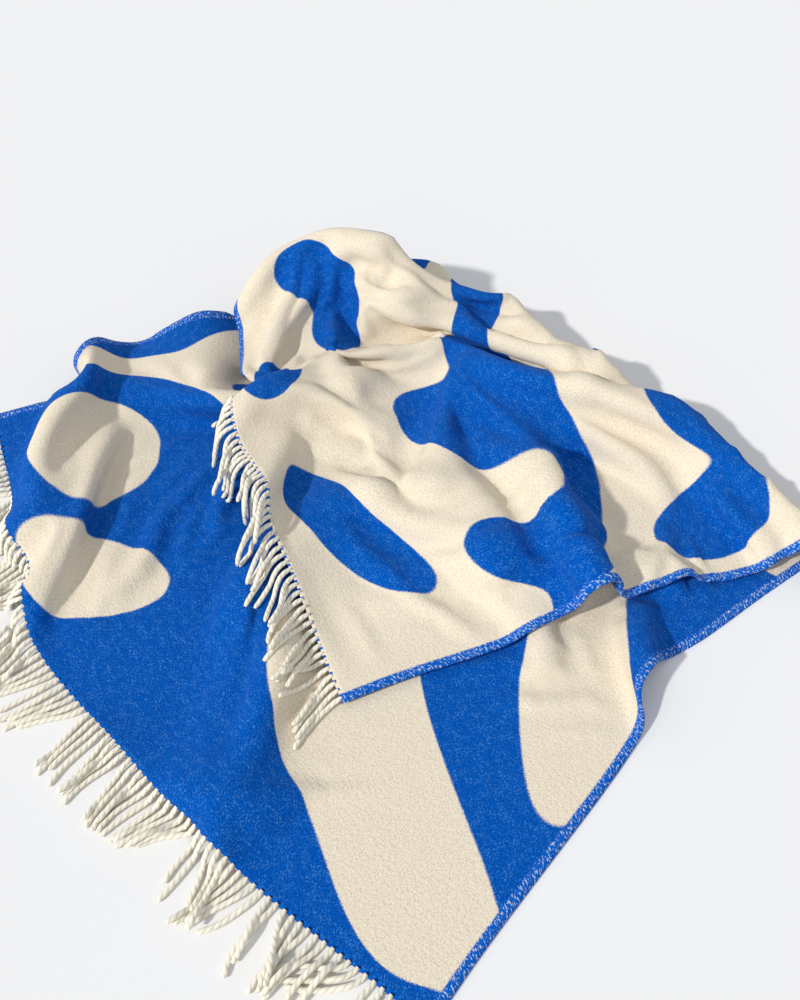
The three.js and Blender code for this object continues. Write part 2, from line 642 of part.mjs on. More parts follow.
// A closed tube through a row of rings, each ring listed the same way round
function tubeSolid(rings) {
  const sides = rings[0].length;
  const triangles = [];
  for (let ring = 0; ring + 1 < rings.length; ring++) {
    for (let k = 0; k < sides; k++) {
      const [a, b] = [ring * sides + k, ring * sides + (k + 1) % sides];
      triangles.push([a, b, b + sides], [a, b + sides, a + sides]);
    }
  }
  const last = (rings.length - 1) * sides;
  for (let k = 1; k + 1 < sides; k++) {
    triangles.push([0, k + 1, k], [last, last + k, last + k + 1]);
  }
  return { points: rings.flat(), triangles };
}

function turnedOut({ points, triangles }) {
  let volume = 0;
  for (const [a, b, c] of triangles) {
    const square = cross(points[a], points[b]);
    volume += points[c][0] * square[0] + points[c][1] * square[1] + points[c][2] * square[2];
  }
  return { points, triangles: volume > 0 ? triangles : triangles.map(([a, b, c]) => [a, c, b]) };
}

function manifoldOf(solid) {
  const { points, triangles } = turnedOut(solid);
  const mesh = new wasm.Mesh({ numProp: 3, vertProperties: new Float32Array(points.flat()),
    triVerts: new Uint32Array(triangles.flat()) });
  return new wasm.Manifold(mesh);
}

// The narrow strip that a row of strands grows from, just off the edge of the cloth
function stripSolid(edge) {
  return tubeSolid(edge.map(({ face, reverse, outward }) => [
    onFloor(shift(reverse, outward, STRIP_GAP)),
    onFloor(shift(reverse, outward, STRIP_GAP + STRIP_WIDTH)),
    onFloor(shift(face, outward, STRIP_GAP + STRIP_WIDTH)),
    onFloor(shift(face, outward, STRIP_GAP)),
  ]));
}

// Where a strand grows out of its strip: its root, the way it leaves and its upper side
function strandRoot(edge, share) {
  const at = Math.min(Math.floor(share), edge.length - 2);
  const [here, next] = [edge[at], edge[at + 1]];
  const mix = (key) => shift(here[key], minus(next[key], here[key]), share - at);
  const outward = unit(mix('outward'));
  const up = unit(minus(mix('above'), mix('below')));
  const place = shift(mix('below'), outward, STRIP_GAP + STRIP_WIDTH - ROOT_IN_STRIP);
  const [headingX, headingY] = mix('heading');
  return { place, outward, up, heading: Math.atan2(headingY, headingX) };
}

// One strand, walked section by section from its root: it sinks until it lies on what is under it
function strandSolid(root, ground, lean, curl) {
  const pace = STRAND_LENGTH / STRAND_SECTIONS;
  const rings = [];
  let [x, y, z] = root.place;
  let way = root.heading;
  for (let section = 0; section <= STRAND_SECTIONS; section++) {
    const taper = section === STRAND_SECTIONS ? 0.75 : 1;
    const half = STRAND_SIZE / 2 * taper;
    const up = section === 0 ? root.up : [0, 0, 1];
    const side = section === 0 ? unit(cross(up, root.outward)) : [-Math.sin(way), Math.cos(way), 0];
    const corners = [shift([x, y, z], side, half), shift([x, y, z], side, -half),
      shift([x, y, z], up, STRAND_HEIGHT * taper)];
    rings.push(corners.map(onFloor));
    way = root.heading + lean + curl * (section + 1) / STRAND_SECTIONS;
    const level = [Math.cos(way), Math.sin(way), 0];
    const spot = shift([x, y, z], level, pace);
    const fall = clamp((z - ground(spot[0], spot[1], way)) / pace, -STEEPEST, STEEPEST);
    const sinking = shift([0, 0, -fall], level, Math.sqrt(1 - fall * fall));
    const leaving = unit(shift(root.outward, level, LEAVING_LEVEL));
    [x, y, z] = shift([x, y, z], section === 0 ? leaving : sinking, pace);
    z = Math.max(z, ground(x, y, way));
  }
  return tubeSolid(rings);
}

// A fringe: its strip and its strands, made one
function fringeSolid(edge, ground) {
  const parts = [manifoldOf(stripSolid(edge))];
  const pitch = CELLS_ACROSS / STRANDS_PER_END;
  for (let strand = 0; (strand + 1) * pitch < edge.length - 1; strand++) {
    const lean = 0.04 * Math.sin(strand * 0.7) + 0.03 * Math.sin(strand * 2.3);
    const curl = 0.08 * Math.sin(strand * 0.45 + 1) + 0.03 * Math.sin(strand * 1.9);
    parts.push(manifoldOf(strandSolid(strandRoot(edge, (strand + 0.5) * pitch), ground, lean, curl)));
  }
  const { vertProperties, triVerts } = wasm.Manifold.union(parts).getMesh();
  const geometry = new THREE.BufferGeometry();
  geometry.setAttribute('position', new THREE.Float32BufferAttribute(vertProperties, 3));
  geometry.setIndex([...triVerts]);
  geometry.computeVertexNormals();
  return geometry;
}

// What a strand of end B lies on: the highest of the lower layer around a spot, with a clearance
function groundOver(cells) {
  const reach = STRAND_LENGTH / STRAND_SECTIONS / 2;
  return (x, y, way) => {
    let top = 0;
    for (const ahead of [-reach, 0, reach]) {
      for (const beside of [-4, 0, 4]) {
        const spotX = x + Math.cos(way) * ahead - Math.sin(way) * beside;
        const spotY = y + Math.sin(way) * ahead + Math.cos(way) * beside;
        top = Math.max(top, heightOfLower(cells, spotX, spotY));
      }
    }
    return top > 0 ? top + CLEARANCE : 0;
  };
}

function named(name, geometry, material) {
  const mesh = new THREE.Mesh(geometry, material);
  mesh.name = name;
  return mesh;
}

const cloth = settleCloth();
const endA = clothEnd(cloth, { j: 0, from: CELLS_ACROSS, to: 0, faceUp: true });
const lastOpen = Math.floor(OPEN_END_B / STEP_ACROSS);
const endB = clothEnd(cloth, { j: CELLS_ALONG, from: 0, to: lastOpen, faceUp: false });
const part = new THREE.Group();
part.name = 'wool_blanket';
part.add(named('blanket', clothSolid(cloth), MATERIALS.cloth));
part.add(named('fringe_near', fringeSolid(endA, () => 0), MATERIALS.yarn));
part.add(named('fringe_far', fringeSolid(endB, groundOver(lowerCells(cloth))), MATERIALS.yarn));

// The middle of the whole piece stands over the origin, and its underside on the level of it
const box = new THREE.Box3().setFromObject(part);
for (const mesh of part.children) {
  mesh.geometry.translate(-(box.min.x + box.max.x) / 2, -(box.min.y + box.max.y) / 2, -box.min.z);
}

export default part;
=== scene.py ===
"""A fringed wool throw, folded back over itself on a pale floor."""

import logging
import math
from dataclasses import dataclass
from enum import Enum

import bmesh
import bpy
import numpy as np
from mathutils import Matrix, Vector
from mathutils.bvhtree import BVHTree


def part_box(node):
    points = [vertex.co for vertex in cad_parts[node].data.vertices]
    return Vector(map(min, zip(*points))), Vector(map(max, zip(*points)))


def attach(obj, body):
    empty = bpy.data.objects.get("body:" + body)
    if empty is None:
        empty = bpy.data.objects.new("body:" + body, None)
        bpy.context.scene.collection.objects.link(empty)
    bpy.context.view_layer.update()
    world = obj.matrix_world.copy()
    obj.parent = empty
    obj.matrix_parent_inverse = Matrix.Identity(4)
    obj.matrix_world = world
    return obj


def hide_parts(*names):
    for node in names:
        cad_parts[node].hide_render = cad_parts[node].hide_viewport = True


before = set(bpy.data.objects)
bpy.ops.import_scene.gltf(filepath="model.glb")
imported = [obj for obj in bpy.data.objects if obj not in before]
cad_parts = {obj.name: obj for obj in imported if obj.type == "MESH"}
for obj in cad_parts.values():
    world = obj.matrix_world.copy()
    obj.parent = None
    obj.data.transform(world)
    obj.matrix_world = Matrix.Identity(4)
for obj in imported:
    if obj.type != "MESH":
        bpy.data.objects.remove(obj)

LOG = logging.getLogger("throw")
MM = 0.001

Paint = tuple[float, float, float, float]
Socket = bpy.types.NodeSocket

# Where the cloth turns back over itself and where its far end is tucked under the heap: the
# distance across the cloth, and the distance along it at which the turn lies, in millimetres.
TURN_BACK = ((0, 1012), (400, 1058), (900, 1058), (1300, 985))
TUCK_UNDER = (
    (0, 2500), (543, 1925), (660, 1868), (720, 1790), (800, 1735), (1000, 1725), (1300, 1700),
)

# The gaps that the drape keeps, in millimetres: between the two layers, over the tucked end, and
# between the front of the upper layer and the heap.
LAYER_GAP = 12.0
TUCK_GAP = 8.0
HEAP_GAP = 6.0

# The edges and folds of the drape. A hold is a spot of the flat cloth and the place where it lies:
# (across, along, x, y, rise), in millimetres, with x to the right and y away from the viewer.
HELD_LINES: dict[str, tuple[tuple[float, ...], ...]] = {
    "end A": (
        (0, 0, 35, 210, 0), (250, 0, -176, 345, 0), (454, 0, -334, 476, 12),
        (561, 0, -409, 554, 12), (690, 0, -495, 644, 0), (762, 0, -546, 694, 0),
        (830, 0, -572, 748, 38), (900, 0, -587, 795, 0), (1070, 0, -641, 956, 0),
        (1183, 0, -684, 1060, 0), (1300, 0, -734, 1178, 0),
    ),
    "near selvedge, lower layer": (
        (0, 178, 155, 341, 0), (0, 451, 329, 552, 0), (0, 490, 342, 569, 18),
        (0, 545, 324, 610, 52), (0, 580, 345, 639, 52), (0, 640, 370, 664, 0),
        (0, 690, 404, 699, 0), (0, 773, 484, 740, 0), (0, 950, 632, 838, 0),
        (0, 1010, 694, 876, 12),
    ),
    "near selvedge, upper layer": (
        (0, 1080, 629, 851, 20), (0, 1213, 509, 801, 12), (0, 1292, 430, 788, 12),
        (0, 1328, 406, 785, 38), (0, 1390, 351, 754, 14), (0, 1455, 315, 759, 62),
        (0, 1512, 274, 744, 36), (0, 1570, 219, 734, 18), (0, 1600, 237, 708, 14),
        (0, 1662, 181, 692, 12), (0, 1800, 43, 638, 12), (0, 1920, -76, 599, 12),
    ),
    "end B": (
        (57, 1920, -90, 656, 12), (118, 1920, -119, 709, 15), (186, 1920, -156, 765, 20),
        (252, 1920, -169, 826, 40), (301, 1920, -170, 867, 65), (355, 1920, -205, 907, 82),
        (451, 1920, -243, 992, 85), (543, 1920, -279, 1080, 92),
    ),
    "end B, tucked under": (
        (720, 1920, -165, 1140, 42), (900, 1920, -60, 1160, 26), (1100, 1920, -120, 1150, 24),
        (1300, 1920, -100, 1110, 22),
    ),
    "rounded edge where the tuck starts": (
        (600, 1895, -270, 1129, 98), (660, 1870, -233, 1170, 102),
    ),
    "far selvedge, lower layer": (
        (1300, 120, -621, 1220, 0), (1300, 245, -560, 1228, 100), (1300, 325, -550, 1290, 46),
        (1300, 440, -446, 1325, 43), (1300, 570, -335, 1395, 43), (1300, 710, -200, 1425, 20),
        (1300, 850, -60, 1440, 10), (1300, 985, 70, 1440, 22),
    ),
    "far selvedge, upper layer": (
        (1300, 1120, -60, 1480, 12), (1300, 1240, -170, 1485, 30), (1300, 1320, -230, 1455, 85),
        (1300, 1385, -249, 1423, 132), (1300, 1440, -234, 1392, 96), (1300, 1525, -303, 1370, 74),
        (1300, 1670, -284, 1230, 30), (1300, 1780, -215, 1150, 24),
    ),
    "edge of the turn back": (
        (130, 1032, 609, 976, 28), (290, 1048, 515, 1097, 36), (390, 1055, 446, 1150, 40),
        (480, 1060, 386, 1202, 46), (560, 1066, 338, 1251, 58), (640, 1062, 287, 1291, 40),
        (700, 1062, 268, 1322, 56), (780, 1070, 249, 1345, 74), (840, 1072, 218, 1381, 84),
        (960, 1046, 158, 1401, 70), (1080, 1030, 90, 1439, 60),
    ),
    "crease between the humps of the turn back": (
        (600, 1120, 314, 1227, 44), (560, 1170, 345, 1157, 40),
    ),
    "left ridge, crest": (
        (905, 40, -546, 831, 62), (1010, 97, -540, 948, 88), (1150, 160, -558, 1103, 108),
    ),
    "left ridge, valley beside it": (
        (888, 137, -488, 865, 14), (1030, 223, -497, 1091, 22), (1200, 300, -500, 1234, 45),
    ),
    "far ridge of the lower layer": (
        (1190, 345, -480, 1233, 70), (1130, 460, -368, 1187, 64), (1060, 580, -271, 1162, 52),
        (1235, 440, -437, 1304, 28),
    ),
    "middle ridge of the lower layer": (
        (355, 10, -250, 411, 28), (390, 102, -212, 504, 44), (490, 217, -216, 664, 54),
        (600, 316, -235, 816, 58),
    ),
    "first fan fold, crest": (
        (330, 1530, 137, 1039, 98), (210, 1515, 203, 938, 98), (110, 1510, 249, 847, 92),
        (40, 1520, 248, 781, 70),
    ),
    "first fan fold, valley": (
        (365, 1440, 171, 1084, 30), (210, 1415, 278, 955, 28), (65, 1420, 326, 823, 20),
    ),
    "second fan fold, crest": (
        (430, 1380, 136, 1149, 92), (400, 1340, 212, 1127, 88), (350, 1300, 278, 1107, 80),
        (265, 1250, 399, 1052, 66), (200, 1190, 489, 1016, 44),
    ),
    "third fan fold": (
        (520, 1250, 281, 1181, 58), (640, 1200, 241, 1256, 78), (740, 1160, 203, 1313, 86),
    ),
    "hollow beside the heap": (
        (700, 1290, 125, 1303, 46), (860, 1190, 131, 1356, 60),
    ),
    "pinch where the fan folds meet": (
        (545, 1470, 103, 1256, 90),
    ),
    "valley in front of the heap": (
        (640, 1620, -72, 1231, 48), (640, 1760, -176, 1191, 75), (610, 1530, 73, 1275, 60),
    ),
    "upper layer, open part": (
        (430, 1800, -153, 1075, 40), (300, 1780, -114, 953, 30), (300, 1650, 0, 875, 28),
        (150, 1700, 46, 771, 16), (430, 1650, 0, 1070, 45), (120, 1320, 464, 898, 22),
    ),
    "heap, crest": (
        (1190, 1410, -228, 1446, 162), (1090, 1360, -128, 1457, 178), (1020, 1290, -18, 1440, 186),
        (960, 1240, 52, 1400, 186),
    ),
    "heap, front": (
        (880, 1400, -35, 1318, 140), (850, 1310, 80, 1328, 108), (820, 1700, -165, 1222, 92),
        (830, 1800, -150, 1180, 40), (850, 1640, -139, 1236, 112),
    ),
    "heap, right side": (
        (925, 1225, 84, 1379, 166), (955, 1150, 104, 1370, 82),
    ),
    "heap, pocket": (
        (1060, 1560, -164, 1369, 110), (975, 1650, -120, 1300, 62), (1010, 1550, -135, 1362, 88),
        (940, 1780, -105, 1215, 36),
    ),
    "heap, left cone": (
        (1210, 1470, -218, 1420, 156), (1160, 1560, -210, 1328, 118), (1120, 1640, -221, 1254, 80),
        (1080, 1740, -190, 1180, 45), (1220, 1570, -255, 1290, 48),
    ),
}

# The lines of holds along the edges of the cloth, which the finer drape passes through closely.
EDGES = (
    "end A", "near selvedge, lower layer", "near selvedge, upper layer", "end B",
    "far selvedge, lower layer", "first fan fold, crest", "first fan fold, valley",
)

# The finer folds. A fold follows spots of the flat cloth: (across, along, rise of the crest, half
# width), in millimetres; a hollow has a rise below nought.
FOLDS: dict[str, tuple[tuple[float, float, float, float], ...]] = {
    "crest of the pinch": (
        (474, 1530, 5, 26), (415, 1508, 18, 26), (311, 1529, 28, 28), (260, 1515, 31, 28),
        (191, 1518, 31, 28), (132, 1525, 30, 28), (81, 1531, 28, 28), (39, 1529, 22, 26),
    ),
    "valley beside the pinch": (
        (468, 1451, -10, 26), (416, 1424, -26, 28), (352, 1420, -34, 28), (285, 1433, -35, 30),
        (179, 1486, -35, 30), (115, 1489, -34, 30), (58, 1493, -31, 28), (18, 1489, -21, 28),
    ),
    "ridge beyond the valley": (
        (331, 1351, 3, 36), (273, 1349, 14, 40), (185, 1349, 20, 42), (104, 1355, 20, 40),
    ),
    "crest of the second fan fold": (
        (468, 1413, 7, 24), (428, 1356, 14, 24), (372, 1308, 18, 24), (320, 1265, 18, 24),
        (252, 1211, 13, 24), (198, 1163, 2, 24),
    ),
    "hollow behind the second fan fold": (
        (453, 1358, -7, 22), (393, 1295, -13, 22), (337, 1242, -14, 22), (272, 1187, -11, 22),
    ),
    "soft crest on the right": (
        (244, 1206, 3, 36), (181, 1213, 20, 36), (116, 1216, 22, 36), (43, 1213, 20, 32),
    ),
    "soft valley on the right": (
        (192, 1182, -3, 30), (144, 1181, -17, 30), (95, 1177, -20, 30), (38, 1169, -14, 28),
    ),
    "last crest on the right": (
        (177, 1118, 3, 30), (107, 1118, 14, 30), (37, 1111, 11, 28),
    ),
    "crease between the humps": (
        (652, 1118, -4, 22), (580, 1169, -12, 22), (386, 1263, -10, 22),
    ),
    "roll at the foot of the heap": (
        (857, 1686, 10, 24), (753, 1594, 16, 26), (696, 1530, 17, 26), (737, 1404, 10, 26),
    ),
    "valley at the foot of the heap": (
        (604, 1746, -6, 28), (586, 1685, -13, 30), (614, 1583, -16, 32), (596, 1517, -14, 30),
    ),
    "pocket": (
        (1050, 1385, -3, 26), (1042, 1433, -14, 28), (1029, 1481, -22, 28), (1013, 1528, -18, 28),
        (1002, 1579, -6, 26),
    ),
    "cone beside the pocket": (
        (1116, 1447, 8, 26), (1119, 1503, 16, 28), (1117, 1554, 16, 28), (1114, 1599, 10, 28),
    ),
    "crest of the lobe": (
        (935, 1504, 6, 28), (925, 1409, 15, 30), (948, 1340, 17, 30), (974, 1262, 10, 28),
    ),
    "hollow beside the lobe": (
        (993, 1113, -6, 30), (857, 1227, -14, 32), (775, 1266, -20, 32), (670, 1326, -16, 30),
    ),
    "crest of the left ridge": (
        (1216, 210, 6, 44), (1127, 182, 9, 48), (1014, 122, 12, 50), (913, 70, 12, 50),
        (823, 24, 6, 44),
    ),
    "valley inside the left ridge": (
        (1138, 307, -3, 44), (1038, 261, -6, 48), (941, 217, -8, 48), (851, 150, -8, 48),
        (785, 77, -4, 44),
    ),
    "crest of the rear crease": (
        (1255, 237, 8, 24), (1226, 337, 14, 24), (1144, 401, 16, 24), (1096, 466, 13, 24),
    ),
    "ridge under the far fringe": (
        (561, 293, 16, 34), (525, 235, 23, 36), (478, 172, 23, 38), (433, 110, 16, 36),
        (395, 51, 3, 34),
    ),
    "valley under the far fringe": (
        (510, 311, -10, 30), (475, 240, -17, 32), (434, 173, -16, 32), (393, 112, -5, 30),
    ),
    "bulge of the front sheet": (
        (492, 1775, 14, 46), (454, 1728, 26, 56), (418, 1660, 14, 46),
    ),
    "long valley of the front sheet": (
        (292, 1822, -3, 32), (306, 1768, -14, 34), (325, 1695, -21, 36), (302, 1623, -19, 34),
        (291, 1584, -5, 30),
    ),
    "dent behind the front selvedge": (
        (210, 1608, -3, 28), (150, 1612, -13, 30), (96, 1624, -10, 30),
    ),
}

# Places that are smoothed before and after the finer folds: (across, along, radius, rounds). The
# smoothing fades out at this many times the radius.
CALM_REACH = 1.4
CALMED = (
    (349, 1376, 44, 70), (364, 1381, 40, 40), (372, 1390, 40, 50), (1013, 1606, 46, 60),
    (956, 1246, 46, 60), (1018, 1614, 40, 40), (684, 1512, 36, 30), (980, 1085, 60, 60),
    (928, 1097, 60, 60), (931, 1225, 60, 60), (1280, 526, 60, 120), (1256, 559, 60, 120),
    (1277, 483, 60, 120), (1235, 312, 60, 50), (1259, 432, 70, 70), (1237, 520, 70, 90),
    (1225, 583, 50, 40), (1143, 356, 60, 40), (845, 1718, 46, 40), (686, 1778, 40, 30),
    (784, 1313, 50, 40), (730, 1284, 45, 40), (930, 1206, 60, 60), (948, 1240, 50, 50),
    (769, 1194, 45, 30), (316, 1416, 34, 110), (772, 1698, 34, 110), (844, 1693, 34, 110),
    (877, 1674, 34, 110), (684, 1490, 34, 110), (713, 1453, 34, 110), (1110, 888, 34, 110),
)


@dataclass(frozen=True)
class ClothSize:
    """The throw as it was woven, in millimetres, and the grid on which its drape is worked out."""

    width: float = 1300.0
    length: float = 1920.0
    thickness: float = 3.0
    cells_across: int = 36
    cells_along: int = 54


@dataclass(frozen=True)
class Cover:
    """The part of the lower layer that lies hidden under the upper one, in millimetres.

    It begins at start along the cloth, and later by bend for each millimetre away from middle. Deeper
    in than bunched_from the cloth is bunched, and its top sinks by fall for each millimetre of depth.
    """

    start: float = 560
    bend: float = 0.35
    middle: float = 650
    near_side: float = 20
    far_side: float = 1220
    bunched_from: float = 40
    first_top: float = 120
    fall: float = 1.2
    lowest_top: float = 20


@dataclass(frozen=True)
class Area:
    """A rectangle of the flat cloth, in millimetres."""

    across: tuple[float, float] = (-math.inf, math.inf)
    along: tuple[float, float] = (-math.inf, math.inf)

    def holds(self, across: np.ndarray, along: np.ndarray) -> np.ndarray:
        """Tells which of some spots lie inside.

        Args:
            across: The spots' places across the cloth.
            along: The spots' places along it.

        Returns:
            True for each spot inside.
        """
        is_beside = (across > self.across[0]) & (across < self.across[1])
        return is_beside & (along > self.along[0]) & (along < self.along[1])


TUCKED = Area(across=(620, math.inf), along=(1520, math.inf))
CREASED = Area(across=(520, 900), along=(1100, math.inf))
FRONT = Area(across=(-math.inf, 640))
HEAP = Area(across=(700, math.inf), along=(1150, 1600))


@dataclass(frozen=True)
class Gathers:
    """How much of its length the cloth keeps where its holds lie close together."""

    ease: float
    least: float

    def share(self, ratio: np.ndarray) -> np.ndarray:
        """The share of the flat length that is kept, for a ratio of laid to flat length."""
        return np.clip(ratio * self.ease, self.least, 1)


@dataclass(frozen=True)
class Settling:
    """How a drape is let settle on one grid."""

    rounds: int = 500
    sag: float = 0.6
    hold_pull: float = 0.3
    hold_spread: float = 48.0
    hold_cut: float = 0.05
    shear: float = 0.25
    bend: float = 0.5
    long_bend: float = 0.3
    bend_share: float = 0.97
    long_bend_share: float = 0.93
    lift: float = 3.0
    map_cell: float = 20.0


@dataclass
class HeightMap:
    """The highest point of part of the cloth over each cell of the floor, in millimetres."""

    cell: float
    left: float = -900.0
    near: float = 100.0
    wide: float = 2000.0
    deep: float = 1600.0
    drop: float = 2.0

    def __post_init__(self) -> None:
        """Sets up the empty map."""
        self.columns = int(self.wide / self.cell)
        self.rows = int(self.deep / self.cell)
        self.heights = np.zeros((self.columns, self.rows))

    def raise_to(self, points: np.ndarray) -> None:
        """Raises the map to a set of points.

        Args:
            points: The points, one in each row.
        """
        column = np.clip(((points[:, 0] - self.left) / self.cell).astype(int), 1, self.columns - 2)
        row = np.clip(((points[:, 1] - self.near) / self.cell).astype(int), 1, self.rows - 2)
        for step_x in (-1, 0, 1):
            for step_y in (-1, 0, 1):
                lower = 0.0 if step_x == step_y == 0 else self.drop
                np.maximum.at(self.heights, (column + step_x, row + step_y), points[:, 2] - lower)

    def read(self, x: np.ndarray, y: np.ndarray) -> np.ndarray:
        """Reads the map smoothly at some places.

        Args:
            x: Distances to the right.
            y: Distances away from the viewer.

        Returns:
            The heights there.
        """
        across = np.clip((x - self.left) / self.cell - 0.5, 0, self.columns - 2.001)
        away = np.clip((y - self.near) / self.cell - 0.5, 0, self.rows - 2.001)
        column, row = across.astype(int), away.astype(int)
        a, b = across - column, away - row
        h = self.heights
        near = h[column, row] * (1 - a) + h[column + 1, row] * a
        far = h[column, row + 1] * (1 - a) + h[column + 1, row + 1] * a
        return near * (1 - b) + far * b


class Drape:
    """The middle surface of the cloth as a grid of points, in millimetres, and how it settles."""

    def __init__(self, size: ClothSize, times: int = 1) -> None:
        """Lays out the grid of the flat cloth.

        Args:
            size: The size of the cloth and its coarse grid.
            times: How many times finer than the coarse grid this one is.
        """
        self.size = size
        self.times = times
        self.cover = Cover()
        rows = size.cells_across * times + 1
        columns = size.cells_along * times + 1
        self.step_across = size.width / (rows - 1)
        self.step_along = size.length / (columns - 1)
        self.across, self.along = np.meshgrid(
            np.arange(rows) * self.step_across, np.arange(columns) * self.step_along, indexing="ij"
        )
        self.past_turn = self.along - np.interp(self.across, *zip(*TURN_BACK))
        self.past_tuck = self.along - np.interp(self.across, *zip(*TUCK_UNDER))
        self.holds = np.array([hold for line in HELD_LINES.values() for hold in line], float)
        self.points = np.zeros((rows, columns, 3))
        self.rest_across = np.zeros((rows - 1, columns))
        self.rest_along = np.zeros((rows, columns - 1))

    @staticmethod
    def smooth_through(holds: np.ndarray, spots: np.ndarray) -> np.ndarray:
        """Lays a smooth surface through a set of holds.

        Args:
            holds: Rows of across, along, x, y and rise.
            spots: Rows of across and along, where the surface is wanted.

        Returns:
            A row of x, y and rise for each spot.
        """
        metre, ease = 1000.0, 0.0005
        known = holds[:, :2] / metre
        wanted = spots / metre
        count = len(known)
        matrix = np.zeros((count + 3, count + 3))
        matrix[:count, :count] = -np.linalg.norm(known[:, None] - known[None], axis=2)
        matrix[:count, :count] -= ease * np.eye(count)
        matrix[:count, count] = matrix[count, :count] = 1
        matrix[:count, count + 1:] = known
        matrix[count + 1:, :count] = known.T
        sides = np.vstack([holds[:, 2:], np.zeros((3, 3))])
        weights = np.linalg.solve(matrix, sides)
        reach = -np.linalg.norm(wanted[:, None] - known[None], axis=2)
        plane = np.hstack([np.ones((len(wanted), 1)), wanted]) @ weights[count:]
        return reach @ weights[:count] + plane

    def lay(self) -> None:
        """Lays the lower and the upper layer each smoothly through their own holds."""
        seam = 22.0
        spots = np.stack([self.across.ravel(), self.along.ravel()], axis=1)
        turn = np.interp(self.holds[:, 0], *zip(*TURN_BACK))
        lower = self.smooth_through(self.holds[self.holds[:, 1] <= turn + seam], spots)
        upper = self.smooth_through(self.holds[self.holds[:, 1] >= turn - seam], spots)
        turned = self.past_turn.ravel()[:, None] > 0
        self.points = np.where(turned, upper, lower).reshape(self.points.shape)
        self.points[..., 2] = np.maximum(self.points[..., 2], 0)
        self.rest_across = self.rest_lengths(0)
        self.rest_along = self.rest_lengths(1)

    def cover_over(self) -> np.ndarray:
        """How far under its cover each point of the lower layer lies.

        Returns:
            The depth in from the rim of the cover, below nought outside it.
        """
        cover = self.cover
        ahead = self.along - cover.start - cover.bend * np.abs(self.across - cover.middle)
        sides = np.minimum(self.across - cover.near_side, cover.far_side - self.across)
        return np.minimum(np.minimum(ahead, -self.past_turn), sides)

    def rest_lengths(self, way: int) -> np.ndarray:
        """How far neighbouring points may lie apart: bunched cloth is taken up in fine gathers.

        Args:
            way: 0 for across the cloth and 1 for along it.

        Returns:
            The length of each edge of the grid.
        """
        step = self.step_along if way else self.step_across
        ratio = np.linalg.norm(np.diff(self.points, axis=way), axis=2) / step
        for _ in range(4):
            for axis in (0, 1):
                rims = [(1, 1), (0, 0)] if axis == 0 else [(0, 0), (1, 1)]
                wide = np.pad(ratio, rims, mode="edge")
                before = wide[:-2] if axis == 0 else wide[:, :-2]
                after = wide[2:] if axis == 0 else wide[:, 2:]
                ratio = 0.25 * before + 0.5 * ratio + 0.25 * after
        rows, columns = ratio.shape
        across, along = self.across[:rows, :columns], self.along[:rows, :columns]
        covered = self.cover_over()[:rows, :columns] > self.cover.bunched_from
        kinds = [covered, TUCKED.holds(across, along), CREASED.holds(across, along)]
        gathers = (Gathers(1.02, 0.35), Gathers(1.05, 0.3), Gathers(1.1, 0.35))
        shares = [gather.share(ratio) for gather in gathers]
        return step * np.select(kinds, shares, Gathers(1.15, 0.6).share(ratio))

    def spring(
        self, a: tuple, b: tuple, rest: np.ndarray, stiffness: float, push_only: bool
    ) -> None:
        """Moves pairs of points towards the distance that they should keep.

        Args:
            a: Index of the first points.
            b: Index of the second points.
            rest: The distances to keep.
            stiffness: The share of the error that is taken away.
            push_only: Whether points that are too far apart are left alone, as over a bend.
        """
        apart = self.points[b] - self.points[a]
        length = np.linalg.norm(apart, axis=2) + 1e-9
        over = length - rest
        if push_only:
            over = np.minimum(over, 0)
        move = apart * (over / length * 0.5 * stiffness)[..., None]
        self.points[a] += move
        self.points[b] -= move

    def keep_lengths(self, span: int, factor: float, stiffness: float, push_only: bool) -> None:
        """Works once through all springs that reach over a number of cells.

        Args:
            span: Cells between the two ends of a spring.
            factor: Share of the cloth's length that the spring keeps.
            stiffness: The share of the error that is taken away.
            push_only: Whether the spring only pushes.
        """
        for way in (0, 1):
            rest = self.rest_along if way else self.rest_across
            count = self.points.shape[way]
            total = np.cumsum(np.insert(rest, 0, 0, axis=way), axis=way)
            for first in range(2 * span):
                starts = np.arange(first, count - span, 2 * span)
                if not len(starts):
                    continue
                a = (starts, slice(None)) if way == 0 else (slice(None), starts)
                b = (starts + span, slice(None)) if way == 0 else (slice(None), starts + span)
                self.spring(a, b, (total[b] - total[a]) * factor, stiffness, push_only)

    def keep_square(self, stiffness: float) -> None:
        """Works once through the diagonals of all cells.

        Args:
            stiffness: The share of the error that is taken away.
        """
        rows, columns = self.points.shape[:2]
        rest = np.sqrt(self.rest_across[:, :-1] ** 2 + self.rest_along[:-1] ** 2)
        for first in (0, 1):
            starts = np.arange(first, rows - 1, 2)
            for lean in (0, 1):
                a = (starts, slice(lean, columns - 1 + lean))
                b = (starts + 1, slice(1 - lean, columns - lean))
                self.spring(a, b, rest[starts], stiffness, False)

    def hold_weights(self, settling: Settling) -> np.ndarray:
        """How much each hold pulls at each point of the grid.

        Args:
            settling: How the drape is let settle.

        Returns:
            One row for each point and one column for each hold.
        """
        across = self.across.reshape(-1, 1) - self.holds[:, 0]
        along = self.along.reshape(-1, 1) - self.holds[:, 1]
        weights = np.exp(-(across**2 + along**2) / (2 * settling.hold_spread**2))
        weights[weights < settling.hold_cut] = 0
        return weights / np.maximum(weights.sum(1, keepdims=True), 1)

    def hold_points(self) -> np.ndarray:
        """Finds the grid point nearest to each hold.

        Returns:
            The point's number in the whole grid, for each hold.
        """
        rows, columns = self.points.shape[:2]
        row = np.clip(np.floor(self.holds[:, 0] / self.step_across + 0.5), 0, rows - 1)
        column = np.clip(np.floor(self.holds[:, 1] / self.step_along + 0.5), 0, columns - 1)
        return (row * columns + column).astype(int)

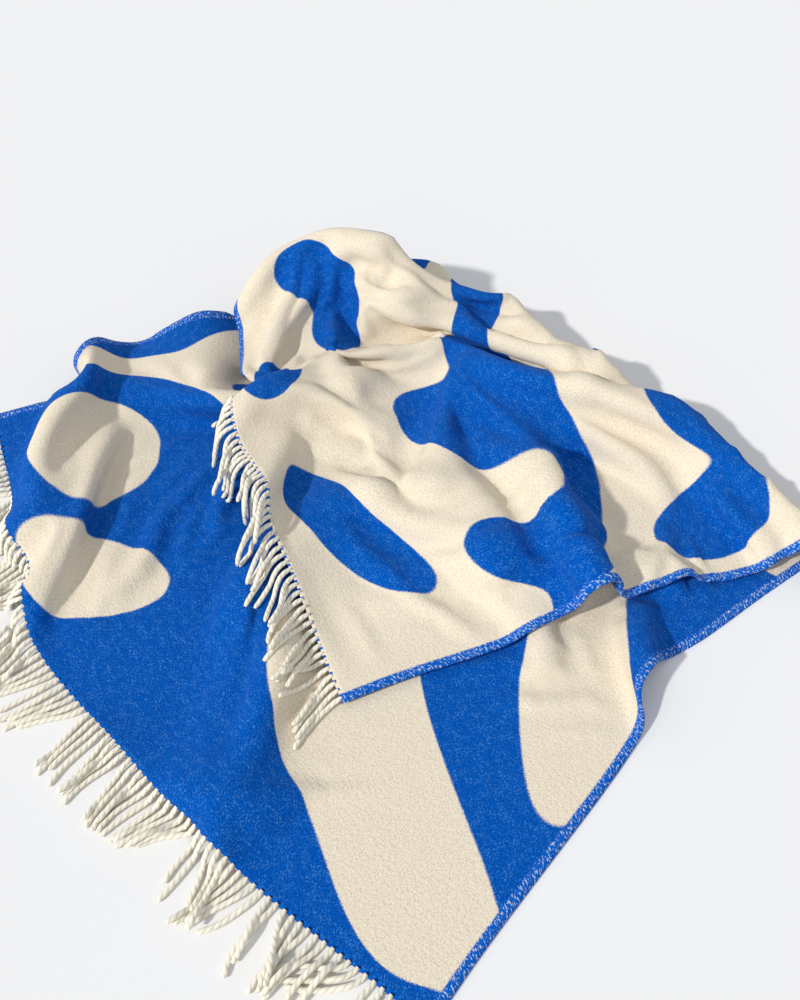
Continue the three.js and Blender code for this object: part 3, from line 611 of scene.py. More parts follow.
    def ceilings(self) -> np.ndarray:
        """How high each point may reach: the covered part of the lower layer stays low.

        Returns:
            The height, for each point.
        """
        depth = self.cover_over()
        tops = np.maximum(self.cover.first_top - self.cover.fall * depth, self.cover.lowest_top)
        return np.where(depth < 0, np.inf, tops)

    def layers(self) -> list[tuple[np.ndarray, np.ndarray, np.ndarray]]:
        """What lies under what.

        Returns:
            For each pair of layers, the lower one, the upper one, and the gap that they keep.
        """
        turn, tuck = self.past_turn, self.past_tuck
        bend, bend_rim, tuck_rim = 40, 75, 50
        fold = (turn <= bend, turn > bend, LAYER_GAP * np.clip(turn / bend_rim, 0, 1))
        tuck_gap = TUCK_GAP * np.clip(-tuck / tuck_rim, 0, 1)
        tucked = ((turn <= 0) | (tuck > 0), (turn > 2 * bend) & (tuck <= 0), tuck_gap)
        front = FRONT.holds(self.across, self.along) & (turn > bend) & (tuck <= 0)
        heap = HEAP.holds(self.across, self.along) & (tuck <= 0)
        return [fold, tucked, (front, heap, np.full(turn.shape, HEAP_GAP))]

    def map_of(self, is_in: np.ndarray, cell: float) -> HeightMap:
        """Makes the height map of part of the cloth.

        Args:
            is_in: Which points belong to the part.
            cell: Size of the map's cells.

        Returns:
            The map.
        """
        heights = HeightMap(cell)
        p = self.points
        heights.raise_to(p[is_in])
        whole = is_in[:-1, :-1] & is_in[1:, 1:]
        for other in (p[1:, :-1], p[:-1, 1:], p[1:, 1:]):
            heights.raise_to(((p[:-1, :-1] + other) / 2)[whole])
        return heights

    def settle(self, settling: Settling) -> None:
        """Lets the cloth sag, keep its lengths, resist bending, stay held and lie on itself.

        Args:
            settling: How it is let settle.
        """
        weights = self.hold_weights(settling)
        at = self.hold_points()
        tops = self.ceilings()
        layers = self.layers()
        maps: list[HeightMap] = []
        flat = self.points.reshape(-1, 3)
        for turn in range(settling.rounds):
            flat[:, 2] -= settling.sag
            self.keep_lengths(1, 1.0, 1.0, False)
            self.keep_square(settling.shear)
            self.keep_lengths(2, settling.bend_share, settling.bend, True)
            if turn % 3 == 0:
                self.keep_lengths(4, settling.long_bend_share, settling.long_bend, True)
            flat += weights @ (settling.hold_pull * (self.holds[:, 2:] - flat[at]))
            self.points[..., 2] = np.clip(self.points[..., 2], 0, tops)
            if turn % 4 == 0:
                maps = [self.map_of(under, settling.map_cell) for under, _, _ in layers]
            if turn <= 4:
                continue
            for heights, (_, over, gaps) in zip(maps, layers):
                upper = self.points[over]
                need = heights.read(upper[:, 0], upper[:, 1]) + gaps[over]
                upper[:, 2] = np.maximum(upper[:, 2], np.minimum(need, upper[:, 2] + settling.lift))
                self.points[over] = upper

    def reach_edges(self, spread: float, ease: float) -> None:
        """Moves the cloth smoothly so that its edges pass through their holds.

        Args:
            spread: How far over the cloth a hold moves its surroundings.
            ease: How much of the way is left, where neighbouring holds disagree.
        """
        self.holds = np.array([hold for name in EDGES for hold in HELD_LINES[name]], float)
        at = self.hold_points()
        flat = self.points.reshape(-1, 3)
        furthest = 60
        left = np.clip(self.holds[:, 2:] - flat[at], -furthest, furthest)

        def nearness(across: np.ndarray, along: np.ndarray) -> np.ndarray:
            """How strongly each hold reaches each of some spots.

            Args:
                across: The spots' places across the cloth.
                along: The spots' places along it.

            Returns:
                One row for each spot and one column for each hold.
            """
            a = across.reshape(-1, 1) - self.holds[:, 0]
            b = along.reshape(-1, 1) - self.holds[:, 1]
            return np.exp(-(a**2 + b**2) / (2 * spread**2))

        between = nearness(self.holds[:, 0], self.holds[:, 1])
        shares = np.linalg.solve(between + ease * np.eye(len(at)), left)
        flat += nearness(self.across, self.along) @ shares
        self.points[..., 2] = np.maximum(self.points[..., 2], 0)

    def allow_lengths(self, share: float) -> None:
        """Lets each edge of the grid keep at least a share of the length that it has now.

        Args:
            share: The share.
        """
        across = np.linalg.norm(np.diff(self.points, axis=0), axis=2)
        along = np.linalg.norm(np.diff(self.points, axis=1), axis=2)
        self.rest_across = np.maximum(self.rest_across, share * across)
        self.rest_along = np.maximum(self.rest_along, share * along)

    def crease(self) -> None:
        """Raises the crests and sinks the hollows of the folds, square to the surface."""
        rise = np.zeros(self.across.shape)
        for rows in FOLDS.values():
            largest = np.zeros(rise.shape)
            for (a0, b0, r0, w0), (a1, b1, r1, w1) in zip(rows, rows[1:]):
                way = np.array([a1 - a0, b1 - b0], float)
                share = (self.across - a0) * way[0] + (self.along - b0) * way[1]
                share = np.clip(share / (way @ way), 0, 1)
                away = np.hypot(self.across - a0 - share * way[0], self.along - b0 - share * way[1])
                part = (r0 + share * (r1 - r0)) * np.exp(-((away / (w0 + share * (w1 - w0))) ** 2))
                largest = np.where(np.abs(part) > np.abs(largest), part, largest)
            rise += largest
        strength, rounding = 1.3, 60
        rise = evened(rise * np.clip(self.past_turn / rounding, -1, 1) * strength, rounds=5)
        across, along = (np.gradient(self.points, axis=axis) for axis in (0, 1))
        out = evened(np.cross(along, across), rounds=4)
        self.points += out / np.linalg.norm(out, axis=2, keepdims=True) * rise[..., None]
        self.points[..., 2] = np.maximum(self.points[..., 2], 0)
        self.rest_across = np.zeros(self.rest_across.shape)
        self.rest_along = np.zeros(self.rest_along.shape)
        self.allow_lengths(1.0)

    def calm(self, effort: float) -> None:
        """Smooths the places named in CALMED, where the cloth would lie in small knots.

        Args:
            effort: Share of the named rounds of smoothing to do.
        """
        for across, along, radius, rounds in CALMED:
            away = np.hypot(self.across - across, self.along - along)
            share = np.clip(CALM_REACH - away / radius, 0, 1)[..., None]
            for _ in range(round(rounds * effort)):
                self.points += (evened(self.points, 1) - self.points) * share

    def finer(self, times: int) -> "Drape":
        """The same drape on a finer grid, with smooth curves between its points.

        Args:
            times: How many times finer.

        Returns:
            The finer drape.
        """
        fine = Drape(self.size, self.times * times)
        fine.points = refine(refine(self.points, times, 0), times, 1)
        across = np.repeat(self.rest_across, times, axis=0) / times
        along = np.repeat(self.rest_along, times, axis=1) / times
        fine.rest_across = refine(across, times, 1)
        fine.rest_along = refine(along, times, 0)
        return fine


def evened(grid: np.ndarray, rounds: int) -> np.ndarray:
    """Evens out a grid of values, except along its rim.

    Args:
        grid: Values with the place in their first two axes.
        rounds: How many times each value moves halfway to the mean of its four neighbours.

    Returns:
        The evened values.
    """
    grid = grid.copy()
    for _ in range(rounds):
        mean = (grid[:-2, 1:-1] + grid[2:, 1:-1] + grid[1:-1, :-2] + grid[1:-1, 2:]) / 4
        grid[1:-1, 1:-1] += (mean - grid[1:-1, 1:-1]) / 2
    return grid


def refine(grid: np.ndarray, times: int, axis: int) -> np.ndarray:
    """Adds points between those of a grid, on smooth curves through them.

    Args:
        grid: Values with the axis to refine among its first two.
        times: How many steps replace one.
        axis: The axis to refine.

    Returns:
        The finer grid.
    """
    rows = np.moveaxis(grid, axis, 0)
    padded = np.concatenate([2 * rows[:1] - rows[1:2], rows, 2 * rows[-1:] - rows[-2:-1]])
    position = np.arange((len(rows) - 1) * times + 1) / times
    start = np.minimum(position.astype(int), len(rows) - 2)
    t = (position - start).reshape((-1,) + (1,) * (rows.ndim - 1))
    a, b, c, d = (padded[start + k] for k in range(4))
    curve = b + 0.5 * t * (c - a + t * (2 * a - 5 * b + 4 * c - d + t * (3 * (b - c) + d - a)))
    return np.moveaxis(curve, 0, axis)


class Side(Enum):
    """The two sides of the double cloth, which show the same pattern in swapped colours."""

    FACE = "face"
    REVERSE = "reverse"


class Graph:
    """The node tree of one material, put together by short calls."""

    def __init__(self, name: str) -> None:
        """Starts an empty node tree.

        Args:
            name: The material's name.
        """
        self.material = bpy.data.materials.new(name)
        self.material.use_nodes = True
        self.material.node_tree.nodes.clear()

    def node(
        self, kind: str, inputs: dict[str | int, object], **settings: object
    ) -> bpy.types.Node:
        """Adds a node.

        Args:
            kind: The node's type.
            inputs: Its inputs by name or number, each a value or the output of another node.
            **settings: Its other settings.

        Returns:
            The node.
        """
        tree = self.material.node_tree
        made = tree.nodes.new(kind)
        for name, setting in settings.items():
            setattr(made, name, setting)
        for key, value in inputs.items():
            if isinstance(value, Socket):
                tree.links.new(value, made.inputs[key])
            else:
                made.inputs[key].default_value = value
        return made

    def math(self, operation: str, *values: object) -> Socket:
        """Works out one number from up to three others."""
        return self.node("ShaderNodeMath", dict(enumerate(values)), operation=operation).outputs[0]

    def vector(self, operation: str, *values: object) -> Socket:
        """Works out one vector from others."""
        inputs = dict(enumerate(values))
        return self.node("ShaderNodeVectorMath", inputs, operation=operation).outputs[0]

    def length(self, vector: Socket) -> Socket:
        """The length of a vector."""
        return self.node("ShaderNodeVectorMath", {0: vector}, operation="LENGTH").outputs["Value"]

    def mix(self, factor: object, a: object, b: object) -> Socket:
        """Blends from colour a to colour b."""
        inputs = {0: factor, 6: a, 7: b}
        return self.node("ShaderNodeMix", inputs, data_type="RGBA").outputs[2]

    def noise(self, vector: object, scale: float, detail: float = 2.0) -> Socket:
        """A cloudy pattern from about 0.3 to 0.7."""
        inputs = {"Vector": vector, "Scale": scale, "Detail": detail}
        return self.node("ShaderNodeTexNoise", inputs).outputs[0]

    def place(self, vector: object, location: tuple, turn: float, scale: tuple) -> Socket:
        """Reads a pattern in a frame of its own that lies at a location, turned and scaled."""
        inputs = {"Vector": vector, "Location": location, "Rotation": (0, 0, turn), "Scale": scale}
        return self.node("ShaderNodeMapping", inputs, vector_type="TEXTURE").outputs[0]

    def step(self, value: object, low: float, high: float) -> Socket:
        """Rises smoothly from 0 to 1 between a low and a high value."""
        inputs = {0: value, 1: low, 2: high, 3: 0.0, 4: 1.0}
        return self.node("ShaderNodeMapRange", inputs, interpolation_type="SMOOTHSTEP").outputs[0]

    def bump(self, height: object, distance: float, strength: float = 1.0) -> Socket:
        """Turns a height into a bumpy surface."""
        inputs = {"Height": height, "Distance": distance, "Strength": strength}
        return self.node("ShaderNodeBump", inputs).outputs[0]

    def finish(self, shader: dict[str, object]) -> bpy.types.Material:
        """Ends the tree with one shader.

        Args:
            shader: The inputs of the Principled shader.

        Returns:
            The finished material.
        """
        surface = self.node("ShaderNodeBsdfPrincipled", shader).outputs[0]
        self.node("ShaderNodeOutputMaterial", {"Surface": surface})
        return self.material


def paint(red: float, green: float, blue: float) -> Paint:
    """Turns a colour on a screen into the light that a surface gives back.

    Args:
        red: The red, from 0 to 255.
        green: The green, from 0 to 255.
        blue: The blue, from 0 to 255.

    Returns:
        The colour as a material takes it.
    """
    parts = (red / 255, green / 255, blue / 255)
    light = [part / 12.92 if part <= 0.04045 else ((part + 0.055) / 1.055) ** 2.4 for part in parts]
    return (*light, 1.0)


# The woven pattern, on the flat cloth, in metres. Rounded shapes: (across, along, half width, half
# length, turn in radians). Wavy bands: (turn, offset, half width, swing, wave length, phase).
PEBBLES = (
    (0.20, 0.13, 0.13, 0.09, 0.3), (0.42, 0.22, 0.14, 0.09, 0.7), (0.90, 0.10, 0.12, 0.07, -0.3),
    (1.08, 0.25, 0.11, 0.10, -0.6), (0.10, 0.50, 0.08, 0.15, 0.0), (0.20, 0.72, 0.11, 0.09, 0.2),
    (1.18, 0.62, 0.08, 0.12, 0.2), (0.66, 0.42, 0.09, 0.06, 0.3), (0.60, 0.82, 0.13, 0.08, -0.4),
    (0.98, 0.90, 0.12, 0.10, 0.3), (0.30, 1.12, 0.12, 0.07, 0.4), (0.12, 1.22, 0.08, 0.10, 0.0),
    (0.86, 1.14, 0.10, 0.06, -0.5), (1.16, 1.22, 0.09, 0.12, 0.3), (0.60, 1.36, 0.11, 0.08, 0.2),
    (0.44, 1.48, 0.09, 0.07, 0.5), (1.10, 1.52, 0.11, 0.08, -0.3), (0.94, 1.62, 0.10, 0.07, 0.4),
    (0.16, 1.56, 0.08, 0.10, -0.1), (0.24, 1.80, 0.11, 0.07, 0.2), (0.62, 1.78, 0.12, 0.07, -0.3),
    (1.14, 1.82, 0.10, 0.07, 0.2),
)
BANDS = (
    (0.60, 0.12, 0.050, 0.05, 0.9, 2.6), (-0.50, 0.92, 0.034, 0.05, 0.8, 2.0),
    (-0.42, 1.42, 0.040, 0.05, 0.9, 0.6),
)


@dataclass(frozen=True)
class WovenWool:
    """Brushed double-cloth wool in two colours, with rounded shapes and wavy bands woven in."""

    side: Side
    blue: Paint = paint(0, 94, 194)
    deep_blue: Paint = paint(0, 70, 154)
    pale_blue: Paint = paint(88, 158, 226)
    cream: Paint = paint(240, 228, 206)
    dull_cream: Paint = paint(222, 209, 186)
    grey_cream: Paint = paint(186, 176, 160)
    speckle: Paint = paint(198, 210, 228)
    hair_scale: float = 620
    tuft_scale: float = 380
    twill: float = 0.0033
    diagonal: float = 1.414
    pick: float = 0.0016
    fuzz: float = 0.005
    merge: float = 0.12
    relief: float = 0.00099
    selvedge_rim: tuple[float, float] = (0.017, 0.014)
    stitch_pitch: float = 0.0138
    first_stitch: float = 0.008

    def material(self, size: ClothSize) -> bpy.types.Material:
        """Makes the finish.

        Args:
            size: The size of the flat cloth.

        Returns:
            The material.
        """
        graph = Graph(f"wool_{self.side.value}")
        uv = graph.node("ShaderNodeUVMap", {}, uv_map="flat").outputs[0]
        flat = graph.vector("MULTIPLY", uv, (size.width * MM, size.length * MM, 0))
        shape = self.pattern(graph, flat)
        hairs = graph.noise(graph.place(flat, (0, 0, 0), 0, (1, 2.4, 1)), self.hair_scale, 3)
        tufts = graph.noise(flat, self.tuft_scale, 4)
        density = graph.step(graph.noise(flat, 70, 3), 0.34, 0.66)
        fleck = graph.step(graph.math("MULTIPLY_ADD", density, 0.1, hairs), 0.6, 0.7)
        blue = graph.mix(graph.step(tufts, 0.36, 0.6), self.deep_blue, self.blue)
        blue = graph.mix(graph.math("MULTIPLY", fleck, 0.5), blue, self.pale_blue)
        twill = graph.math("MULTIPLY", self.twill_lines(graph, flat), 0.4)
        blue = graph.mix(twill, blue, self.deep_blue)
        cream = graph.mix(graph.step(tufts, 0.34, 0.56), self.dull_cream, self.cream)
        cream = graph.mix(graph.math("MULTIPLY", fleck, 0.16), cream, self.grey_cream)
        is_cream = shape if self.side is Side.FACE else graph.math("SUBTRACT", 1.0, shape)
        colour = graph.mix(is_cream, blue, cream)
        colour = self.root_stitches(graph, flat, size, colour)
        colour = self.selvedge(graph, flat, size, colour)
        rib = graph.node(
            "ShaderNodeTexWave", {"Vector": flat, "Scale": 130.0, "Distortion": 2.0, "Detail": 2.0},
            bands_direction="X",
        ).outputs[1]
        height = graph.math("MULTIPLY_ADD", rib, 0.3, tufts)
        height = graph.math("MULTIPLY_ADD", hairs, 0.6, height)
        height = graph.math("MULTIPLY_ADD", graph.noise(flat, 160, 3), 1.2, height)
        return graph.finish({
            "Base Color": colour,
            "Roughness": 0.92,
            "Normal": graph.bump(height, self.relief, 0.9),
            "Sheen Weight": 0.03,
            "Sheen Roughness": 0.5,
            "Specular IOR Level": 0.04,
        })

    def twill_lines(self, graph: Graph, flat: Socket) -> Socket:
        """Draws the fine slanting lines of the weave, which wander a little.

        Args:
            graph: The node tree.
            flat: The place on the flat cloth, in metres.

        Returns:
            1 on a line and 0 between two.
        """
        ways = graph.node("ShaderNodeSeparateXYZ", {0: flat}).outputs
        per_metre = math.tau / self.twill / self.diagonal
        lines = graph.math("MULTIPLY", graph.math("SUBTRACT", ways[0], ways[1]), per_metre)
        wander = graph.math("MULTIPLY_ADD", graph.noise(flat, 120, 2), 5.0, lines)
        return graph.step(graph.math("COSINE", wander), 0.1, 0.9)

    def pattern(self, graph: Graph, flat: Socket) -> Socket:
        """Where the cream yarn comes up on the face.

        Args:
            graph: The node tree.
            flat: The place on the flat cloth, in metres.

        Returns:
            1 for cream and 0 for blue.
        """
        picks = graph.vector("SNAP", flat, (self.pick, self.pick, self.pick))
        parts = graph.node("ShaderNodeSeparateXYZ", {0: picks}).outputs
        across, along = parts[0], parts[1]

        def swing(
            way: Socket, rate: float, other: Socket | float, lean: float, size: float
        ) -> Socket:
            """Makes one slow swing that bends the shapes."""
            angle = graph.math("MULTIPLY_ADD", way, rate, graph.math("MULTIPLY", other, lean))
            return graph.math("MULTIPLY", graph.math("SINE", angle), size)

        push = graph.math(
            "ADD", swing(along, 5.3, 1.0, 0.7, 0.042), swing(across, 9.1, along, 3.9, 0.030)
        )
        pull = graph.math(
            "ADD", swing(across, 4.7, 1.0, 2.1, 0.046), swing(along, 8.3, across, -5.1, 0.030)
        )
        moved = {0: graph.math("ADD", across, push), 1: graph.math("ADD", along, pull)}
        bent = graph.node("ShaderNodeCombineXYZ", moved).outputs[0]
        nearest: object = 1.0
        for x, y, half_width, half_length, turn in PEBBLES:
            spot = graph.place(bent, (x, y, 0), turn, (half_width, half_length, 1))
            reach = min(half_width, half_length)
            edge = graph.math("MULTIPLY_ADD", graph.length(spot), reach, -reach)
            nearest = graph.math("SMOOTH_MIN", nearest, edge, self.merge)
        for turn, offset, half_width, size, wave, phase in BANDS:
            slanted = graph.place(bent, (0, 0, 0), turn, (1, 1, 1))
            turned = graph.node("ShaderNodeSeparateXYZ", {0: slanted})
            angle = graph.math("MULTIPLY_ADD", turned.outputs[0], math.tau / wave, phase)
            middle = graph.math("MULTIPLY_ADD", graph.math("SINE", angle), size, offset)
            away = graph.math("ABSOLUTE", graph.math("SUBTRACT", turned.outputs[1], middle))
            edge = graph.math("SUBTRACT", away, half_width)
            nearest = graph.math("SMOOTH_MIN", nearest, edge, self.merge)
        ragged = graph.math("MULTIPLY_ADD", graph.noise(flat, 500, 2), self.fuzz, nearest)
        return graph.step(ragged, self.fuzz * 0.75, self.fuzz * 0.25)

    def root_stitches(
        self, graph: Graph, flat: Socket, size: ClothSize, colour: Socket
    ) -> Socket:
        """Draws the small blue stitches at the roots of the strands.

        Args:
            graph: The node tree.
            flat: The place on the flat cloth, in metres.
            size: The size of the flat cloth.
            colour: The colour without the stitches.

        Returns:
            The colour with the stitches.
        """
        parts = graph.node("ShaderNodeSeparateXYZ", {0: flat}).outputs
        half = size.length * MM / 2
        from_middle = graph.math("ABSOLUTE", graph.math("SUBTRACT", parts[1], half))
        near_end = graph.step(graph.math("SUBTRACT", half, from_middle), 0.0045, 0.0035)
        from_first = graph.math("SUBTRACT", parts[0], self.first_stitch)
        angle = graph.math("MULTIPLY", from_first, math.tau / self.stitch_pitch)
        at_root = graph.step(graph.math("COSINE", angle), 0.45, 0.7)
        return graph.mix(graph.math("MULTIPLY", near_end, at_root), colour, self.blue)

    def selvedge(
        self, graph: Graph, flat: Socket, size: ClothSize, colour: Socket
    ) -> Socket:
        """Lays the speckled overlocked band along both long edges.

        Args:
            graph: The node tree.
            flat: The place on the flat cloth, in metres.
            size: The size of the flat cloth.
            colour: The colour without the band.

        Returns:
            The colour with the band.
        """
        across = graph.node("ShaderNodeSeparateXYZ", {0: flat}).outputs[0]
        from_middle = graph.math("ABSOLUTE", graph.math("SUBTRACT", across, size.width * MM / 2))
        inward = graph.math("SUBTRACT", size.width * MM / 2, from_middle)
        uneven = graph.math("MULTIPLY_ADD", graph.noise(flat, 300), 0.004, inward)
        band = graph.step(uneven, *self.selvedge_rim)
        speckle = graph.noise(graph.place(flat, (0, 0, 0), 0.5, (2.2, 1, 1)), 430, 3)
        melange = graph.mix(graph.step(speckle, 0.52, 0.66), self.blue, self.speckle)
        return graph.mix(band, colour, melange)


@dataclass(frozen=True)
class TwistedYarn:
    """Soft two-ply yarn of the fringe, with painted shade in the grooves between the plies."""

    cream: Paint = paint(248, 243, 228)
    # hollow is the yarn's cream in shade: painted shade for the grooves between the plies, and also
    # the tone of the darker fibres that fall at random.
    hollow: Paint = paint(230, 221, 198)
    turn: float = 0.021
    plies: int = 2

    def material(self) -> bpy.types.Material:
        """Makes the finish.

        Returns:
            The material.
        """
        graph = Graph("fringe_yarn")
        uv = graph.node("ShaderNodeUVMap", {}, uv_map="yarn").outputs[0]
        parts = graph.node("ShaderNodeSeparateXYZ", {0: uv}).outputs
        turns = graph.math("MULTIPLY_ADD", parts[1], 1 / self.turn, parts[0])
        wave = graph.math("COSINE", graph.math("MULTIPLY", turns, self.plies * math.tau))
        round_ply = graph.math("POWER", graph.math("MULTIPLY_ADD", wave, 0.5, 0.5), 0.4)
        fibre = graph.noise(graph.node("ShaderNodeTexCoord", {}).outputs["Object"], 800, 3)
        # Painted shade: the grooves between the two plies are darkened from the lit cream towards the
        # shaded hollow colour.
        colour = graph.mix(graph.step(round_ply, 0.25, 0.8), self.hollow, self.cream)
        shade = graph.math("MULTIPLY", graph.step(fibre, 0.5, 0.36), 0.25)
        colour = graph.mix(shade, colour, self.hollow)
        height = graph.math("MULTIPLY_ADD", fibre, 0.35, round_ply)
        return graph.finish({
            "Base Color": colour,
            "Roughness": 0.9,
            "Normal": graph.bump(height, 0.0006),
            "Sheen Weight": 0.15,
            "Sheen Roughness": 0.5,
            "Specular IOR Level": 0.12,
        })


@dataclass(frozen=True)
class FloorPaint:
    """Pale matt floor."""

    colour: Paint = paint(240, 240, 240)
    grain_colour: Paint = (0.6, 0.6, 0.6, 1.0)

    def material(self) -> bpy.types.Material:
        """Makes the finish.

        Returns:
            The material.
        """
        graph = Graph("pale_floor")
        grain = graph.noise(graph.node("ShaderNodeTexCoord", {}).outputs["Object"], 3, 4)
        colour = graph.mix(graph.math("MULTIPLY", grain, 0.06), self.colour, self.grain_colour)
        return graph.finish({"Base Color": colour, "Roughness": 0.7, "Specular IOR Level": 0.2})


def add_object(
    name: str, bm: bmesh.types.BMesh, materials: list[bpy.types.Material]
) -> bpy.types.Object:
    """Turns a bmesh into an object of the scene.

    Args:
        name: The object's name.
        bm: The mesh, which is freed.
        materials: Its materials.

    Returns:
        The object.
    """
    mesh = bpy.data.meshes.new(name)
    bm.to_mesh(mesh)
    bm.free()
    made = bpy.data.objects.new(name, mesh)
    for material in materials:
        mesh.materials.append(material)
    bpy.context.scene.collection.objects.link(made)
    mesh.shade_smooth()
    return made


@dataclass
class Throw:
    """The woven cloth of the throw, draped."""

    size: ClothSize = ClothSize()
    coarse: Settling = Settling()
    fine: Settling = Settling(rounds=90, sag=0.3, hold_spread=30.0, map_cell=12.0)
    edges: Settling = Settling(rounds=40, sag=0.3, hold_spread=30.0, map_cell=12.0)
    folds: Settling = Settling(rounds=20, sag=0.1, hold_pull=0.0, map_cell=8.0)
    edge_spread: float = 50.0
    edge_ease: float = 0.4
    selvedge: float = 16.0
    selvedge_thickness: float = 4.6

    def __post_init__(self) -> None:
        """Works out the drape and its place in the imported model."""
        drape = Drape(self.size)
        drape.lay()
        drape.settle(self.coarse)
        low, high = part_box("blanket")
        middle = (drape.points.min((0, 1)) + drape.points.max((0, 1))) / 2 * MM
        right, away = ((low[way] + high[way]) / 2 - middle[way] for way in (0, 1))
        self.shift = Vector((right, away, 0))
        drape = drape.finer(2)
        drape.settle(self.fine)
        drape.reach_edges(self.edge_spread, self.edge_ease)
        drape.allow_lengths(0.98)
        drape.settle(self.edges)
        self.drape = drape.finer(2)
        self.drape.calm(1.0)
        self.drape.crease()
        self.drape.settle(self.folds)
        self.drape.calm(0.3)
        lifted = np.maximum(self.drape.points, (-math.inf, -math.inf, 0))
        lifted += [0, 0, self.size.thickness / 2]
        self.points = lifted * MM + np.array(self.shift)

    def build(self) -> bpy.types.Object:
        """Makes the cloth's mesh from a flat grid that is moved onto the drape.

        Returns:
            The cloth.
        """
        rows, columns = self.points.shape[:2]
        bm = bmesh.new()
        bm.loops.layers.uv.new("flat")
        bmesh.ops.create_grid(
            bm, x_segments=rows - 1, y_segments=columns - 1, size=1, calc_uvs=True
        )
        bm.verts.ensure_lookup_table()
        for vert in bm.verts:
            row, column = vert.index % rows, vert.index // rows
            vert.co = self.points[row, column]
        cloth = add_object("cloth", bm, [
            WovenWool(Side.REVERSE).material(self.size), WovenWool(Side.FACE).material(self.size),
        ])
        self.thicken(cloth)
        return cloth

    def thicken(self, cloth: bpy.types.Object) -> None:
        """Gives the cloth its thickness, with a thicker band along both long edges.

        Args:
            cloth: The cloth's middle surface.
        """
        rows = self.points.shape[0]
        group = cloth.vertex_groups.new(name="thickness")
        thin = self.size.thickness / self.selvedge_thickness
        for row in range(rows):
            across = row * self.size.width / (rows - 1)
            in_band = min(across, self.size.width - across) < self.selvedge
            numbers = list(range(row, len(cloth.data.vertices), rows))
            group.add(numbers, 1.0 if in_band else thin, "REPLACE")
        solid = cloth.modifiers.new("thickness", "SOLIDIFY")
        solid.thickness = self.selvedge_thickness * MM
        solid.offset = 0
        solid.vertex_group = "thickness"
        solid.material_offset = 1
        solid.use_even_offset = False


